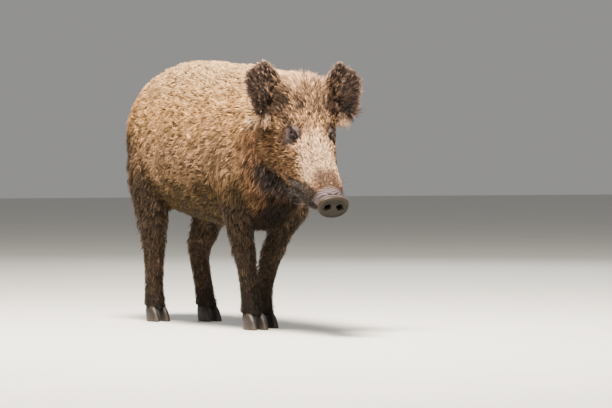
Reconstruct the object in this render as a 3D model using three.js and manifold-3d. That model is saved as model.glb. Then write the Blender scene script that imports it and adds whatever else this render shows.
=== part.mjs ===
// A standing wild boar, life size, as a still museum model.
// Frame: +X towards the snout, +Y to the animal's left, +Z up, in millimetres.
// The origin is on the floor, under the middle of the model's bounding box.
// Every size is taken at the outside of the coat.

import * as THREE from "three";
import { mergeVertices } from "three/addons/utils/BufferGeometryUtils.js";
import Module from "manifold-3d";

const wasm = await Module();
wasm.setup();

// ---------------------------------------------------------------- driving sizes

const GAP = 0.5; // clearance left between neighbouring pieces
const FAR = 900; // reach of the blocks that part the body

const BODY_RING = 22; // points round a section of the body
const LEG_RING = 14; // points round a section of a leg
const BODY_STEPS = 2; // lofted sections for each key section
const LEG_STEPS = 1;

const HEAD_PITCH = THREE.MathUtils.degToRad(40); // muzzle axis, below the horizontal
const HEAD_YAW = THREE.MathUtils.degToRad(-9); // turn of the head to the animal's right
const HEAD_ORIGIN = { x: 568, z: 545 }; // on the muzzle axis, level with the eyes
const NECK_BEND = { from: 330, to: 520, pivot: 430 }; // where the neck turns, along X
const MUZZLE_END = 250; // from the eyes to the back of the snout disc

const EYE = { along: 4, side: 58, above: 54, radius: 12.5 };
const EAR = { along: -114, side: 76, above: 76, length: 128, thick: 15, cup: 26, lean: 14 };
const DISC = { half: 46, rise: 35, thick: 15, bevel: 4, tilt: THREE.MathUtils.degToRad(-6) };
const NOSTRIL = { side: 17, above: -1, half: 7.5, rise: 10, deep: 9 };
const HOOF = { height: 40, front: 40, back: 24, half: 16.5, slope: 15, apart: 17.5 };
const DEWCLAW = { radius: 9, length: 30, side: 17, back: 35, height: 62 };

// ---------------------------------------------------------------- general shaping

const { degToRad, lerp, smoothstep } = THREE.MathUtils;
const UP = new THREE.Vector3(0, 0, 1);

/** A three.js geometry as a manifold solid. */
function solidOf(geometry) {
  const bare = geometry.clone();
  for (const name of Object.keys(bare.attributes)) {
    if (name !== "position") bare.deleteAttribute(name);
  }
  const merged = mergeVertices(bare, 1e-3);
  return new wasm.Manifold(
    new wasm.Mesh({
      numProp: 3,
      vertProperties: new Float32Array(merged.attributes.position.array),
      triVerts: new Uint32Array(merged.index.array),
    }),
  );
}

/** A manifold solid as a three.js geometry. */
function geometryOf(solid) {
  const mesh = solid.getMesh();
  const positions = new Float32Array(mesh.numVert * 3);
  for (let i = 0; i < mesh.numVert; i++) {
    const start = i * mesh.numProp;
    positions.set(mesh.vertProperties.subarray(start, start + 3), i * 3);
  }
  const geometry = new THREE.BufferGeometry();
  geometry.setAttribute("position", new THREE.BufferAttribute(positions, 3));
  geometry.setIndex(new THREE.BufferAttribute(mesh.triVerts, 1));
  geometry.computeVertexNormals();
  return geometry;
}

/** The middle of a ring of points. */
function middleOf(ring) {
  return ring.reduce((sum, p) => sum.add(p), new THREE.Vector3()).divideScalar(ring.length);
}

/** A closed geometry through rings of points, with a pole at each end. */
function loft(rings) {
  const count = rings[0].length;
  const index = [];
  const poles = [rings.length * count, rings.length * count + 1];
  for (let i = 0; i < count; i++) {
    const j = (i + 1) % count;
    for (let r = 0; r < rings.length - 1; r++) {
      const here = r * count;
      const next = here + count;
      index.push(here + i, next + j, here + j, here + i, next + i, next + j);
    }
    const last = (rings.length - 1) * count;
    index.push(poles[0], i, j, poles[1], last + j, last + i);
  }
  const points = [...rings.flat(), middleOf(rings[0]), middleOf(rings[rings.length - 1])];
  const geometry = new THREE.BufferGeometry().setFromPoints(points);
  geometry.setIndex(index);
  return geometry;
}

/** A ring drawn in towards its middle by a share, and moved along a vector. */
function drawnIn(ring, share, shift) {
  const middle = middleOf(ring);
  return ring.map((p) => p.clone().lerp(middle, share).add(shift));
}

/** The sign-keeping power that turns a circle into a superellipse. */
function squared(value, power) {
  return Math.sign(value) * Math.abs(value) ** (2 / power);
}

/** Catmull-Rom value at t between b and c. */
function between(a, b, c, d, t) {
  const t2 = t * t;
  const t3 = t2 * t;
  const ends = (2 * t3 - 3 * t2 + 1) * b + (3 * t2 - 2 * t3) * c;
  return ends + ((t3 - 2 * t2 + t) * (c - a) + (t3 - t2) * (d - b)) / 2;
}

/** Key sections, each a plain object of numbers, with smooth steps filled in between them. */
function refined(keys, steps) {
  const rows = [];
  for (let i = 0; i < keys.length - 1; i++) {
    const near = [i - 1, i, i + 1, i + 2].map((k) => keys[Math.min(Math.max(k, 0), keys.length - 1)]);
    for (let k = 0; k < steps; k++) {
      const fields = Object.keys(keys[i]);
      const values = fields.map((f) => [f, between(...near.map((row) => row[f]), k / steps)]);
      rows.push(Object.fromEntries(values));
    }
  }
  rows.push(keys[keys.length - 1]);
  return rows;
}

/** A block that fills one side of a plane through a point, facing along a direction. */
function block(point, direction, shift = 0) {
  const geometry = new THREE.BoxGeometry(FAR, 2 * FAR, 2 * FAR).translate(FAR / 2 + shift, 0, 0);
  const turn = new THREE.Quaternion();
  turn.setFromUnitVectors(new THREE.Vector3(1, 0, 0), direction.clone().normalize());
  return solidOf(geometry.applyQuaternion(turn).translate(point.x, point.y, point.z));
}

// ---------------------------------------------------------------- head frame

/** A point of the head's middle plane, from its distances along and above the muzzle axis. */
function onHead(along, above) {
  return {
    x: HEAD_ORIGIN.x + along * Math.cos(HEAD_PITCH) + above * Math.sin(HEAD_PITCH),
    z: HEAD_ORIGIN.z - along * Math.sin(HEAD_PITCH) + above * Math.cos(HEAD_PITCH),
  };
}

/** The turn of the head about the neck's pivot, or a share of it. */
function neckTurn(share = 1) {
  const there = new THREE.Matrix4().makeTranslation(NECK_BEND.pivot, 0, 0);
  const turn = new THREE.Matrix4().makeRotationZ(HEAD_YAW * share);
  return there.multiply(turn).multiply(new THREE.Matrix4().makeTranslation(-NECK_BEND.pivot, 0, 0));
}

/** A point of the straight animal, turned with its neck. */
function turned(point) {
  return point.clone().applyMatrix4(neckTurn(smoothstep(point.x, NECK_BEND.from, NECK_BEND.to)));
}

/** From head axes (along, left, above the muzzle axis) to the part's frame. */
const HEAD = neckTurn()
  .multiply(new THREE.Matrix4().makeTranslation(HEAD_ORIGIN.x, 0, HEAD_ORIGIN.z))
  .multiply(new THREE.Matrix4().makeRotationY(HEAD_PITCH));

const toHead = (geometry) => geometry.applyMatrix4(HEAD);
const headPoint = (along, side, above) => new THREE.Vector3(along, side, above).applyMatrix4(HEAD);
const headWay = (along, side, above) => new THREE.Vector3(along, side, above).transformDirection(HEAD);

// ---------------------------------------------------------------- trunk, neck and head as one form

const at = (x, z) => ({ x, z });

/** A key section: its top and bottom in the middle plane, half its width, and its rounding. */
function section(top, bottom, half, wide = 0.5, upper = 2.2, lower = 2.2) {
  const ends = { topX: top.x, topZ: top.z, bottomX: bottom.x, bottomZ: bottom.z };
  // wide: height of the widest level, as a share; upper, lower: superellipse powers
  return { ...ends, half, wide, upper, lower };
}

const BODY_KEYS = [
  section(at(-448, 632), at(-456, 556), 46), // dock
  section(at(-430, 682), at(-434, 480), 102), // buttocks
  section(at(-392, 734), at(-394, 422), 134), // croup
  section(at(-322, 782), at(-322, 376), 156), // hips
  section(at(-222, 814), at(-222, 342), 168), // flanks
  section(at(-112, 821), at(-112, 322), 176), // loins
  section(at(0, 812), at(0, 310), 180), // barrel
  section(at(100, 803), at(100, 298), 176), // ribs
  section(at(190, 799), at(202, 292), 166), // withers
  section(at(280, 788), at(298, 300), 152), // shoulders
  section(at(360, 775), at(374, 346), 142), // base of the neck
  section(at(430, 770), at(412, 396), 132), // neck
  section(at(494, 766), at(428, 436), 120), // nape
  section(onHead(-146, 146), at(437, 452), 112, 0.6, 2.6), // crown
  section(onHead(-92, 126), at(449, 453), 108, 0.5, 2.7), // poll
  section(onHead(-40, 105), at(471, 450), 98, 0.45, 2.7), // brow
  section(onHead(6, 84), onHead(22, -121), 84, 0.44, 2.6), // eyes
  section(onHead(56, 67), onHead(62, -116), 78, 0.44, 2.4), // cheeks
  section(onHead(106, 55), onHead(108, -108), 68, 0.48, 2.3), // bridge
  section(onHead(160, 46), onHead(152, -96), 59, 0.52), // muzzle
  section(onHead(208, 41), onHead(192, -76), 51, 0.52), // lips
  section(onHead(238, 37), onHead(228, -50), 44), // behind the disc
  section(onHead(MUZZLE_END, 33), onHead(MUZZLE_END - 6, -33), 39), // front of the muzzle
];

/** A form given in head axes, carried to the straight animal's frame. */
function headForm(along, side, above, reach, height) {
  const { x, z } = onHead(along, above);
  return { x, y: side, z, reach, height };
}

// Soft swellings and hollows of the surface, the same on both sides.
const FORMS = [
  { x: 235, y: 150, z: 610, reach: 75, height: 9 }, // shoulder blade
  { x: -40, y: 175, z: 480, reach: 120, height: 6 }, // side of the belly
  { x: -190, y: 165, z: 520, reach: 55, height: -9 }, // flank
  { x: -300, y: 110, z: 740, reach: 45, height: 6 }, // hip
  headForm(-12, 56, 78, 18, 7), // brow ridge
  headForm(6, 64, 50, 17, -9), // eye hollow
  headForm(14, 70, 8, 26, 6), // cheekbone
  headForm(-50, 88, -60, 38, 9), // jaw muscle
  headForm(90, 52, 22, 30, -4), // side of the nose
  headForm(178, 48, -8, 24, 5), // tusk root
];

/** How far the forms push the surface out at a point of the straight animal. */
function relief(point) {
  return FORMS.reduce((sum, form) => {
    const away = Math.hypot(point.x - form.x, Math.abs(point.y) - form.y, point.z - form.z);
    return sum + form.height * Math.exp(-((away / form.reach) ** 2) / 2);
  }, 0);
}

/** One ring of the body, grown outwards by some millimetres. */
function bodyRing(row, grow) {
  const top = new THREE.Vector3(row.topX, 0, row.topZ);
  const bottom = new THREE.Vector3(row.bottomX, 0, row.bottomZ);
  const up = top.clone().sub(bottom).normalize();
  const core = bottom.clone().lerp(top, row.wide);
  return Array.from({ length: BODY_RING }, (_, i) => {
    const angle = (2 * Math.PI * i) / BODY_RING;
    const power = Math.cos(angle) >= 0 ? row.upper : row.lower;
    const rise = squared(Math.cos(angle), power);
    const reach = rise >= 0 ? core.distanceTo(top) : core.distanceTo(bottom);
    const point = core.clone().addScaledVector(up, rise * (reach + grow));
    point.y = (row.half + grow) * squared(Math.sin(angle), power);
    const outward = point.clone().sub(core).normalize();
    return turned(point.addScaledVector(outward, relief(point)));
  });
}

/** The trunk, neck and head without ears, as one solid. */
function wholeBody(grow) {
  const rings = refined(BODY_KEYS, BODY_STEPS).map((row) => bodyRing(row, grow));
  const rump = new THREE.Vector3(-7 - grow, 0, 0);
  const nose = headWay(1, 0, 0).multiplyScalar(5 + grow);
  rings.unshift(drawnIn(rings[0], 0.45, rump));
  rings.push(drawnIn(rings[rings.length - 1], 0.3, nose));
  return solidOf(loft(rings));
}

// ---------------------------------------------------------------- legs

/** A key level of a leg: its height, centre, half depth fore and aft, and half width. */
const level = (z, x, y, deep, wide) => ({ z, x, y, deep, wide });

// Heights, depths and widths are the species'; x and y place each leg in its step.
const LEGS = [
  {
    name: "foreleg_left",
    joint: 238,
    toe: 20,
    keys: [
      level(640, 236, 84, 62, 46),
      level(560, 252, 90, 84, 60),
      level(470, 262, 96, 84, 64),
      level(400, 268, 94, 78, 60),
      level(340, 268, 88, 72, 56),
      level(286, 244, 70, 50, 45),
      level(240, 228, 58, 43, 39),
      level(190, 212, 47, 36, 34),
      level(130, 201, 38, 33, 31),
      level(88, 195, 34, 35, 33),
      level(60, 198, 34, 34, 35),
      level(40, 204, 34, 33, 34),
    ],
  },
  {
    name: "foreleg_right",
    joint: 240,
    toe: 20,
    keys: [
      level(640, 240, -84, 62, 46),
      level(560, 262, -92, 84, 60),
      level(470, 272, -96, 84, 64),
      level(400, 274, -92, 74, 58),
      level(340, 270, -86, 60, 50),
      level(286, 264, -76, 49, 43),
      level(240, 262, -66, 43, 38),
      level(190, 262, -55, 36, 34),
      level(130, 264, -47, 33, 31),
      level(88, 266, -43, 35, 33),
      level(60, 272, -43, 34, 35),
      level(40, 280, -43, 33, 34),
    ],
  },
  {
    name: "hindleg_left",
    joint: 262,
    toe: 18,
    keys: [
      level(670, -296, 82, 70, 50),
      level(600, -292, 88, 100, 62),
      level(500, -282, 94, 104, 66),
      level(420, -262, 96, 98, 62),
      level(360, -250, 94, 90, 56),
      level(310, -254, 88, 78, 50),
      level(268, -272, 80, 66, 44),
      level(230, -286, 73, 47, 37),
      level(190, -281, 70, 37, 33),
      level(130, -262, 71, 34, 32),
      level(88, -254, 73, 35, 33),
      level(60, -243, 74, 34, 35),
      level(40, -234, 74, 33, 34),
    ],
  },
  {
    name: "hindleg_right",
    joint: 262,
    toe: 18,
    keys: [
      level(670, -300, -82, 70, 50),
      level(600, -302, -88, 100, 62),
      level(500, -302, -96, 104, 66),
      level(420, -294, -100, 94, 62),
      level(360, -282, -99, 80, 54),
      level(310, -280, -94, 66, 47),
      level(268, -290, -88, 51, 41),
      level(230, -298, -83, 43, 37),
      level(190, -303, -80, 37, 34),
      level(130, -304, -79, 33, 32),
      level(88, -305, -79, 35, 33),
      level(60, -298, -79, 34, 35),
      level(40, -290, -79, 33, 34),
    ],
  },
];

/** A whole leg, from inside the trunk down to the coronet. */
function legSolid(leg, grow) {
  const rows = refined(leg.keys, LEG_STEPS);
  rows[0] = { ...rows[0], z: rows[0].z + grow };
  const rings = rows.map((row) =>
    Array.from({ length: LEG_RING }, (_, i) => {
      const angle = (2 * Math.PI * i) / LEG_RING;
      const x = row.x + (row.deep + grow) * Math.cos(angle);
      const y = row.y + (row.wide + grow) * Math.sin(angle);
      return new THREE.Vector3(x, y, row.z);
    }),
  );
  rings.unshift(drawnIn(rings[0], 0.4, new THREE.Vector3(0, 0, 14)));
  return solidOf(loft(rings));
}

/** The patch of the trunk's side that goes with a leg, as a thick oval plate. */
function flankPatch(leg, grow) {
  const [, chest] = leg.keys;
  const side = Math.sign(chest.y);
  const inner = 46 - grow;
  const shape = new THREE.Shape();
  shape.absellipse(chest.x, chest.z - 30, chest.deep + grow, 150 + grow, 0, 2 * Math.PI);
  const plate = new THREE.ExtrudeGeometry(shape, { depth: 300, bevelEnabled: false, curveSegments: 9 });
  plate.rotateX(Math.PI / 2); // the shape's plane becomes X and Z, the depth runs to -Y
  if (side > 0) plate.translate(0, inner + 300, 0);
  else plate.translate(0, -inner, 0);
  return solidOf(plate);
}

/** One toe of a hoof: flat below, steep in front, with its inner face straight. */
function hoofGeometry(side) {
  const ring = (height, shrink) => {
    const back = (HOOF.slope * height) / HOOF.height;
    return Array.from({ length: 8 }, (_, i) => {
      const angle = (2 * Math.PI * i) / 8;
      const reach = Math.cos(angle) > 0 ? HOOF.front : HOOF.back;
      const inner = Math.sin(angle) * side < 0 ? 0.75 : 1;
      const x = reach * squared(Math.cos(angle), 2.3) * shrink - back;
      const y = HOOF.half * inner * squared(Math.sin(angle), 2.3) * shrink;
      return new THREE.Vector3(x, y, height);
    });
  };
  const top = HOOF.height - GAP;
  const rings = [ring(top, 0.82), ring(top * 0.55, 0.93), ring(4, 1), ring(0, 0.96)];
  return loft(rings);
}

/** One dewclaw, a blunt cone that points down and back. */
function dewclawGeometry() {
  const { radius, length } = DEWCLAW;
  const outline = [
    new THREE.Vector2(0, -length / 2),
    new THREE.Vector2(radius * 0.55, -length * 0.44),
    new THREE.Vector2(radius, length / 2),
    new THREE.Vector2(0, length / 2),
  ];
  return new THREE.LatheGeometry(outline, 6).rotateX(Math.PI / 2).rotateY(degToRad(30));
}

// ---------------------------------------------------------------- ears, eyes, snout and tail

/** A level of the ear: its share of the ear's length, and the reach of its outer and inner edges. */
const earLevel = (share, outer, inner) => ({ share, outer, inner });

const EAR_KEYS = [
  earLevel(-0.3, 62, -34), // lobe
  earLevel(-0.14, 82, 2),
  earLevel(0.14, 90, 36), // root
  earLevel(0.4, 84, 43),
  earLevel(0.64, 70, 42),
  earLevel(0.84, 50, 34),
  earLevel(0.96, 27, 22),
  earLevel(1, 8, 10), // tip
];
const EAR_REACH = {
  outer: Math.max(...EAR_KEYS.map((key) => key.outer)),
  inner: Math.max(...EAR_KEYS.map((key) => key.inner)),
};

/** An ear as a cupped blade in its own axes: X across (outer edge at +X), Y up the ear, Z facing out. */
function earBlade() {
  const across = 7;
  const points = [];
  for (const face of [1, -1]) {
    for (const { share, outer, inner } of EAR_KEYS) {
      for (let i = 0; i <= across; i++) {
        const x = lerp(-inner, outer, i / across);
        const u = x / (x > 0 ? EAR_REACH.outer : EAR_REACH.inner);
        const bend = EAR.cup * u * u * (1 - 0.55 * share) - EAR.lean * share * share;
        const rim = 1 - 0.5 * lerp(-1, 1, i / across) ** 4; // thinner towards the edges
        const half = (EAR.thick / 2) * (1 - 0.5 * Math.max(share, 0)) * rim;
        points.push(new THREE.Vector3(x, share * EAR.length, bend + face * half));
      }
    }
  }
  const up = EAR_KEYS.length - 1;
  const row = across + 1;
  const layer = row * (up + 1);
  const index = [];
  const quad = (a, b, c, d) => index.push(a, b, c, a, c, d);
  for (let j = 0; j < up; j++) {
    for (let i = 0; i < across; i++) {
      const a = j * row + i;
      quad(a, a + 1, a + row + 1, a + row);
      quad(layer + a, layer + a + row, layer + a + row + 1, layer + a + 1);
    }
    const left = j * row;
    const right = left + across;
    quad(left, left + row, layer + left + row, layer + left);
    quad(right, layer + right, layer + right + row, right + row);
  }
  for (let i = 0; i < across; i++) {
    const tip = up * row + i;
    quad(i, layer + i, layer + i + 1, i + 1);
    quad(tip, tip + 1, layer + tip + 1, layer + tip);
  }
  const geometry = new THREE.BufferGeometry().setFromPoints(points);
  geometry.setIndex(index);
  return geometry;
}

/** The turn that stands an ear on the head: its own axes to head axes, for the left side. */
function earMatrix(side) {
  const tall = new THREE.Vector3(-66, 66, 82).normalize(); // from the root to the tip
  const facing = new THREE.Vector3(0.66, -0.02, 0.75); // the way the cup opens
  const across = new THREE.Vector3().crossVectors(tall, facing).normalize();
  const out = new THREE.Vector3().crossVectors(across, tall);
  const basis = new THREE.Matrix4().makeBasis(across, tall, out);
  basis.setPosition(EAR.along, EAR.side, EAR.above);
  const mirror = new THREE.Matrix4().makeScale(1, side, 1);
  return new THREE.Matrix4().copy(HEAD).multiply(mirror).multiply(basis);
}

/** An ear in place, cut where it meets the head. */
function earSolid(side, headGrown) {
  const geometry = earBlade().applyMatrix4(earMatrix(side));
  if (side < 0) {
    // the mirrored blade is turned right side out again
    const index = geometry.index.array;
    for (let i = 0; i < index.length; i += 3) [index[i], index[i + 1]] = [index[i + 1], index[i]];
  }
  return solidOf(geometry).subtract(headGrown);
}

/** An eyeball, or the hole it sits in. */
function eyeball(side, grow) {
  const ball = new THREE.SphereGeometry(EYE.radius + grow, 12, 8);
  return solidOf(toHead(ball.translate(EYE.along, side * EYE.side, EYE.above)));
}

/** The flat of the snout: a rounded disc, lower edge narrower, with two blind nostrils. */
function snoutDisc() {
  const shape = new THREE.Shape();
  const steps = 22;
  for (let i = 0; i < steps; i++) {
    const angle = (2 * Math.PI * i) / steps;
    const x = (DISC.half - DISC.bevel) * squared(Math.sin(angle), 2.3) * (1 + 0.05 * Math.cos(angle));
    const y = (DISC.rise - DISC.bevel) * squared(Math.cos(angle), 2.3);
    if (i === 0) shape.moveTo(x, y);
    else shape.lineTo(x, y);
  }
  const plate = new THREE.ExtrudeGeometry(shape, {
    depth: DISC.thick - 2 * DISC.bevel,
    bevelThickness: DISC.bevel,
    bevelSize: DISC.bevel,
    bevelSegments: 1,
  });
  plate.translate(0, 0, DISC.bevel);
  let disc = solidOf(plate);
  for (const side of [1, -1]) {
    const hole = new THREE.SphereGeometry(1, 10, 8);
    hole.scale(NOSTRIL.half, NOSTRIL.rise, NOSTRIL.deep).rotateZ(side * degToRad(-20));
    hole.translate(side * NOSTRIL.side, NOSTRIL.above, DISC.thick);
    disc = disc.subtract(solidOf(hole));
  }
  // The plate's Z becomes the muzzle's axis, its X the animal's left and its Y the way up.
  const turn = new THREE.Matrix4().makeBasis(
    new THREE.Vector3(0, 1, 0),
    new THREE.Vector3(0, 0, 1),
    new THREE.Vector3(1, 0, 0),
  );
  const place = new THREE.Matrix4()
    .makeTranslation(MUZZLE_END + 12, 0, 0)
    .multiply(new THREE.Matrix4().makeRotationY(DISC.tilt))
    .multiply(turn);
  return solidOf(toHead(geometryOf(disc).applyMatrix4(place)));
}

/** The tail: hangs close behind the rump and ends in a brush. */
function tailSolid() {
  const keys = [
    level(655, -452, 0, 16, 18),
    level(620, -474, 0, 15, 17),
    level(560, -488, 2, 11, 12),
    level(490, -492, 4, 9, 10),
    level(430, -492, 6, 8, 9),
    level(385, -490, 8, 13, 15),
    level(345, -487, 9, 12, 14),
    level(312, -484, 10, 4, 5),
  ];
  const rings = refined(keys, 2).map((row) =>
    Array.from({ length: 8 }, (_, i) => {
      const angle = (2 * Math.PI * i) / 8;
      const x = row.x + row.deep * Math.cos(angle);
      return new THREE.Vector3(x, row.y + row.wide * Math.sin(angle), row.z);
    }),
  );
  return solidOf(loft(rings));
}

// ---------------------------------------------------------------- parting the whole into pieces

const SHOULDER_CUT = { point: new THREE.Vector3(338, 0, 600), way: new THREE.Vector3(1, 0, -0.22) };
const HEAD_CUT = { point: headPoint(-107, 0, -18), way: headWay(0.9, 0, 0.43) };
const TAIL_CUT = { point: new THREE.Vector3(0, 0, 420), way: new THREE.Vector3(0, 0, 1) };

/** The space below the mouth line, given by corners in the head's middle plane. */
function jawSpace(grow) {
  const corners = [
    [MUZZLE_END + 40, -20],
    [196, -25],
    [120, -36],
    [40, -48],
    [-24, -88],
    [-60, -180],
    [MUZZLE_END + 40, -180],
  ];
  const shape = new THREE.Shape(corners.map(([along, above]) => new THREE.Vector2(along, above + grow)));
  const slab = new THREE.ExtrudeGeometry(shape, { depth: 400, bevelEnabled: false });
  slab.translate(0, 0, -200).rotateX(Math.PI / 2);
  return solidOf(toHead(slab));
}

const MATERIALS = {
  coat: { color: 0x9c8261, roughness: 0.95, metalness: 0 },
  face: { color: 0xb7a184, roughness: 0.95, metalness: 0 },
  legs: { color: 0x3b302a, roughness: 0.95, metalness: 0 },
  ears: { color: 0x4d4038, roughness: 0.95, metalness: 0 },
  snout: { color: 0x5c4c48, roughness: 0.6, metalness: 0 },
  eyes: { color: 0x24130c, roughness: 0.1, metalness: 0 },
  hooves: { color: 0x2b2724, roughness: 0.5, metalness: 0 },
};

const root = new THREE.Group();

/** Adds one named piece. */
function add(name, solid, material) {
  const mesh = new THREE.Mesh(geometryOf(solid), new THREE.MeshStandardMaterial(MATERIALS[material]));
  mesh.name = name;
  root.add(mesh);
  return mesh;
}

/** Adds the two hooves and the two dewclaws of a leg. */
function addFoot(leg) {
  const foot = leg.keys[leg.keys.length - 1];
  for (const side of [1, -1]) {
    const label = side === Math.sign(foot.y) ? "outer" : "inner";
    const hoof = hoofGeometry(side);
    hoof.translate(foot.x + leg.toe * 0.6, foot.y + side * HOOF.apart, 0);
    add(`hoof_${leg.name}_${label}`, solidOf(hoof), "hooves");
    const claw = dewclawGeometry();
    claw.translate(foot.x - DEWCLAW.back, foot.y + side * DEWCLAW.side, DEWCLAW.height);
    add(`dewclaw_${leg.name}_${label}`, solidOf(claw).subtract(legSolid(leg, GAP)), "hooves");
  }
}

const bodySolid = wholeBody(0);
const bodyGrown = wholeBody(GAP);

/** Adds the trunk, neck, head, jaw and legs, parted so that each leg takes its share of the side. */
function addBodyAndLegs() {
  const ahead = (cut, shift) => block(cut.point, cut.way, shift);
  const behind = (cut, shift) => block(cut.point, cut.way.clone().negate(), shift);
  let trunk = bodySolid.intersect(behind(SHOULDER_CUT, GAP));
  let neck = bodySolid.intersect(ahead(SHOULDER_CUT, 0)).intersect(behind(HEAD_CUT, GAP));
  let head = bodySolid.intersect(ahead(HEAD_CUT, 0));
  const jaw = head.intersect(jawSpace(0));
  head = head.subtract(jawSpace(GAP));
  for (const side of [1, -1]) head = head.subtract(eyeball(side, GAP));

  for (const leg of LEGS) {
    const side = bodySolid.intersect(behind(SHOULDER_CUT, GAP)).intersect(flankPatch(leg, 0));
    const limb = legSolid(leg, 0).add(side);
    trunk = trunk.subtract(flankPatch(leg, GAP)).subtract(legSolid(leg, GAP));
    neck = neck.subtract(legSolid(leg, GAP));
    const joint = new THREE.Vector3(0, 0, leg.joint);
    add(`${leg.name}_upper`, limb.intersect(block(joint, UP, GAP)), "legs");
    add(`${leg.name}_lower`, limb.intersect(block(joint, UP.clone().negate())), "legs");
    addFoot(leg);
  }
  add("trunk", trunk, "coat");
  add("neck", neck, "coat");
  add("head", head, "face");
  add("lower_jaw", jaw, "face");
}

addBodyAndLegs();
const tail = tailSolid().subtract(bodyGrown);
add("tail", tail.intersect(block(TAIL_CUT.point, TAIL_CUT.way, GAP)), "coat");
add("tail_brush", tail.intersect(block(TAIL_CUT.point, TAIL_CUT.way.clone().negate())), "legs");
add("snout_disc", snoutDisc(), "snout");
for (const [name, side] of [["left", 1], ["right", -1]]) {
  add(`ear_${name}`, earSolid(side, bodyGrown), "ears");
  add(`eye_${name}`, eyeball(side, 0), "eyes");
}

// The model is moved so that the origin lies under the middle of its box.
const box = new THREE.Box3().setFromObject(root);
root.position.set(-(box.min.x + box.max.x) / 2, -(box.min.y + box.max.y) / 2, -box.min.z);
root.updateMatrixWorld(true);

export default root;
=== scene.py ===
"""Life-size model of a wild boar: one skin, a coat of mesh tufts, eyes, hooves and bristles.

Everything is in metres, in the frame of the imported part: +X towards the snout, +Y to the
animal's left, +Z up, with the floor at z = 0. Head measures are given along the muzzle axis,
to the left of it and above it, from the point level with the eyes.
"""

import logging
import math
from dataclasses import dataclass, field
from enum import Enum

import bmesh
import bpy
import numpy as np
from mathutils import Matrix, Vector
from mathutils.bvhtree import BVHTree
from mathutils.kdtree import KDTree


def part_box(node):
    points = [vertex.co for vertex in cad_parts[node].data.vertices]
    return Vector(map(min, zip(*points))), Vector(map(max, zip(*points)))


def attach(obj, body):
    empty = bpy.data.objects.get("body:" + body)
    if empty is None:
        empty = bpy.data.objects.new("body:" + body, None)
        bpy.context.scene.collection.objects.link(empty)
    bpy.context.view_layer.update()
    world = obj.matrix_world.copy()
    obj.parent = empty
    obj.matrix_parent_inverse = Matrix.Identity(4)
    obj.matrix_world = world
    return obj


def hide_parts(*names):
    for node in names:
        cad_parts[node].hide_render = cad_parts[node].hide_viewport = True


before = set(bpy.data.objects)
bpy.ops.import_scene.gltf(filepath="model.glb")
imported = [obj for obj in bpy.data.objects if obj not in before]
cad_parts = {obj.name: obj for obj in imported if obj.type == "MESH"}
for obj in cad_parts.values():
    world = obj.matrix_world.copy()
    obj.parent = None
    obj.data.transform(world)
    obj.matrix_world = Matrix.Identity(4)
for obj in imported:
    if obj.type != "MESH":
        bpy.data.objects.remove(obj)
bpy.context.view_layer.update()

BODY = "root"
LOG = logging.getLogger("boar")
Array = np.ndarray
Shade = tuple[int, int, int]
Triple = tuple[float, float, float]
MM = 0.001
ATTRIBUTES = {"FLOAT": "value", "FLOAT_VECTOR": "vector", "FLOAT_COLOR": "color"}


# ------------------------------------------------------------------ numbers on surfaces


def unit(vectors: Array) -> Array:
    """Vectors at unit length."""
    return vectors / np.maximum(np.linalg.norm(vectors, axis=-1, keepdims=True), 1e-12)


def ease(low: float, high: float, value: Array) -> Array:
    """A smooth step from 0 at low to 1 at high."""
    share = np.clip((value - low) / (high - low), 0.0, 1.0)
    return share * share * (3.0 - 2.0 * share)


def bell(value: Array, middle: float, spread: float) -> Array:
    """A smooth hump of height 1 round a middle."""
    return np.exp(-0.5 * ((value - middle) / spread) ** 2)


def blended(first: Array, second: Array, share: Array) -> Array:
    """Rows of first turned into rows of second by a share for each row."""
    return first + (second - first) * np.asarray(share)[:, None]


def ripple(points: Array, size: float, seed: int, waves: int = 6) -> Array:
    """Smooth noise from -1 to 1, made of a few plane waves.

    Args:
        points: places, one row each.
        size: length of the waves, in metres.
        seed: picks the waves' directions and phases.
        waves: how many waves are added.

    Returns:
        One number for each place.
    """
    rng = np.random.default_rng(seed)
    ways = unit(rng.normal(size=(waves, 3))) * rng.uniform(0.7, 1.6, (waves, 1))
    phases = rng.uniform(0.0, 2.0 * math.pi, waves)
    turns = points @ ways.T * (2.0 * math.pi / size) + phases
    return np.clip(np.sin(turns).sum(axis=1) / math.sqrt(waves), -1.0, 1.0)


def boxy(wave: Array) -> Array:
    """A sine or cosine that gives an oval fuller corners."""
    return np.sign(wave) * np.abs(wave) ** 0.87


def circle(count: int) -> Array:
    """Even turns round a full circle, in radians."""
    return np.linspace(0.0, 2.0 * math.pi, count, endpoint=False)


def placed(name: str, data: bpy.types.ID) -> bpy.types.Object:
    """A new object in the scene."""
    item = bpy.data.objects.new(name, data)
    bpy.context.scene.collection.objects.link(item)
    return item


def noted(mesh: bpy.types.Mesh, name: str, kind: str, values: Array) -> None:
    """Stores one row or number for each point of a mesh as an attribute."""
    layer = mesh.attributes.new(name, kind, "POINT")
    layer.data.foreach_set(ATTRIBUTES[kind], values.astype(np.float32).ravel())


def evaluated(holder: bpy.types.Object) -> bpy.types.Mesh:
    """A plain mesh of what an object's modifiers make of it; the object is removed."""
    graph = bpy.context.evaluated_depsgraph_get()
    mesh = bpy.data.meshes.new_from_object(holder.evaluated_get(graph))
    bpy.data.objects.remove(holder)
    return mesh


def colour(red: int, green: int, blue: int) -> Array:
    """A colour given as it looks on a screen, in steps of 255, as linear light."""
    shown = np.array([red, green, blue], float) / 255.0
    return np.where(shown <= 0.04045, shown / 12.92, ((shown + 0.055) / 1.055) ** 2.4)


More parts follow.
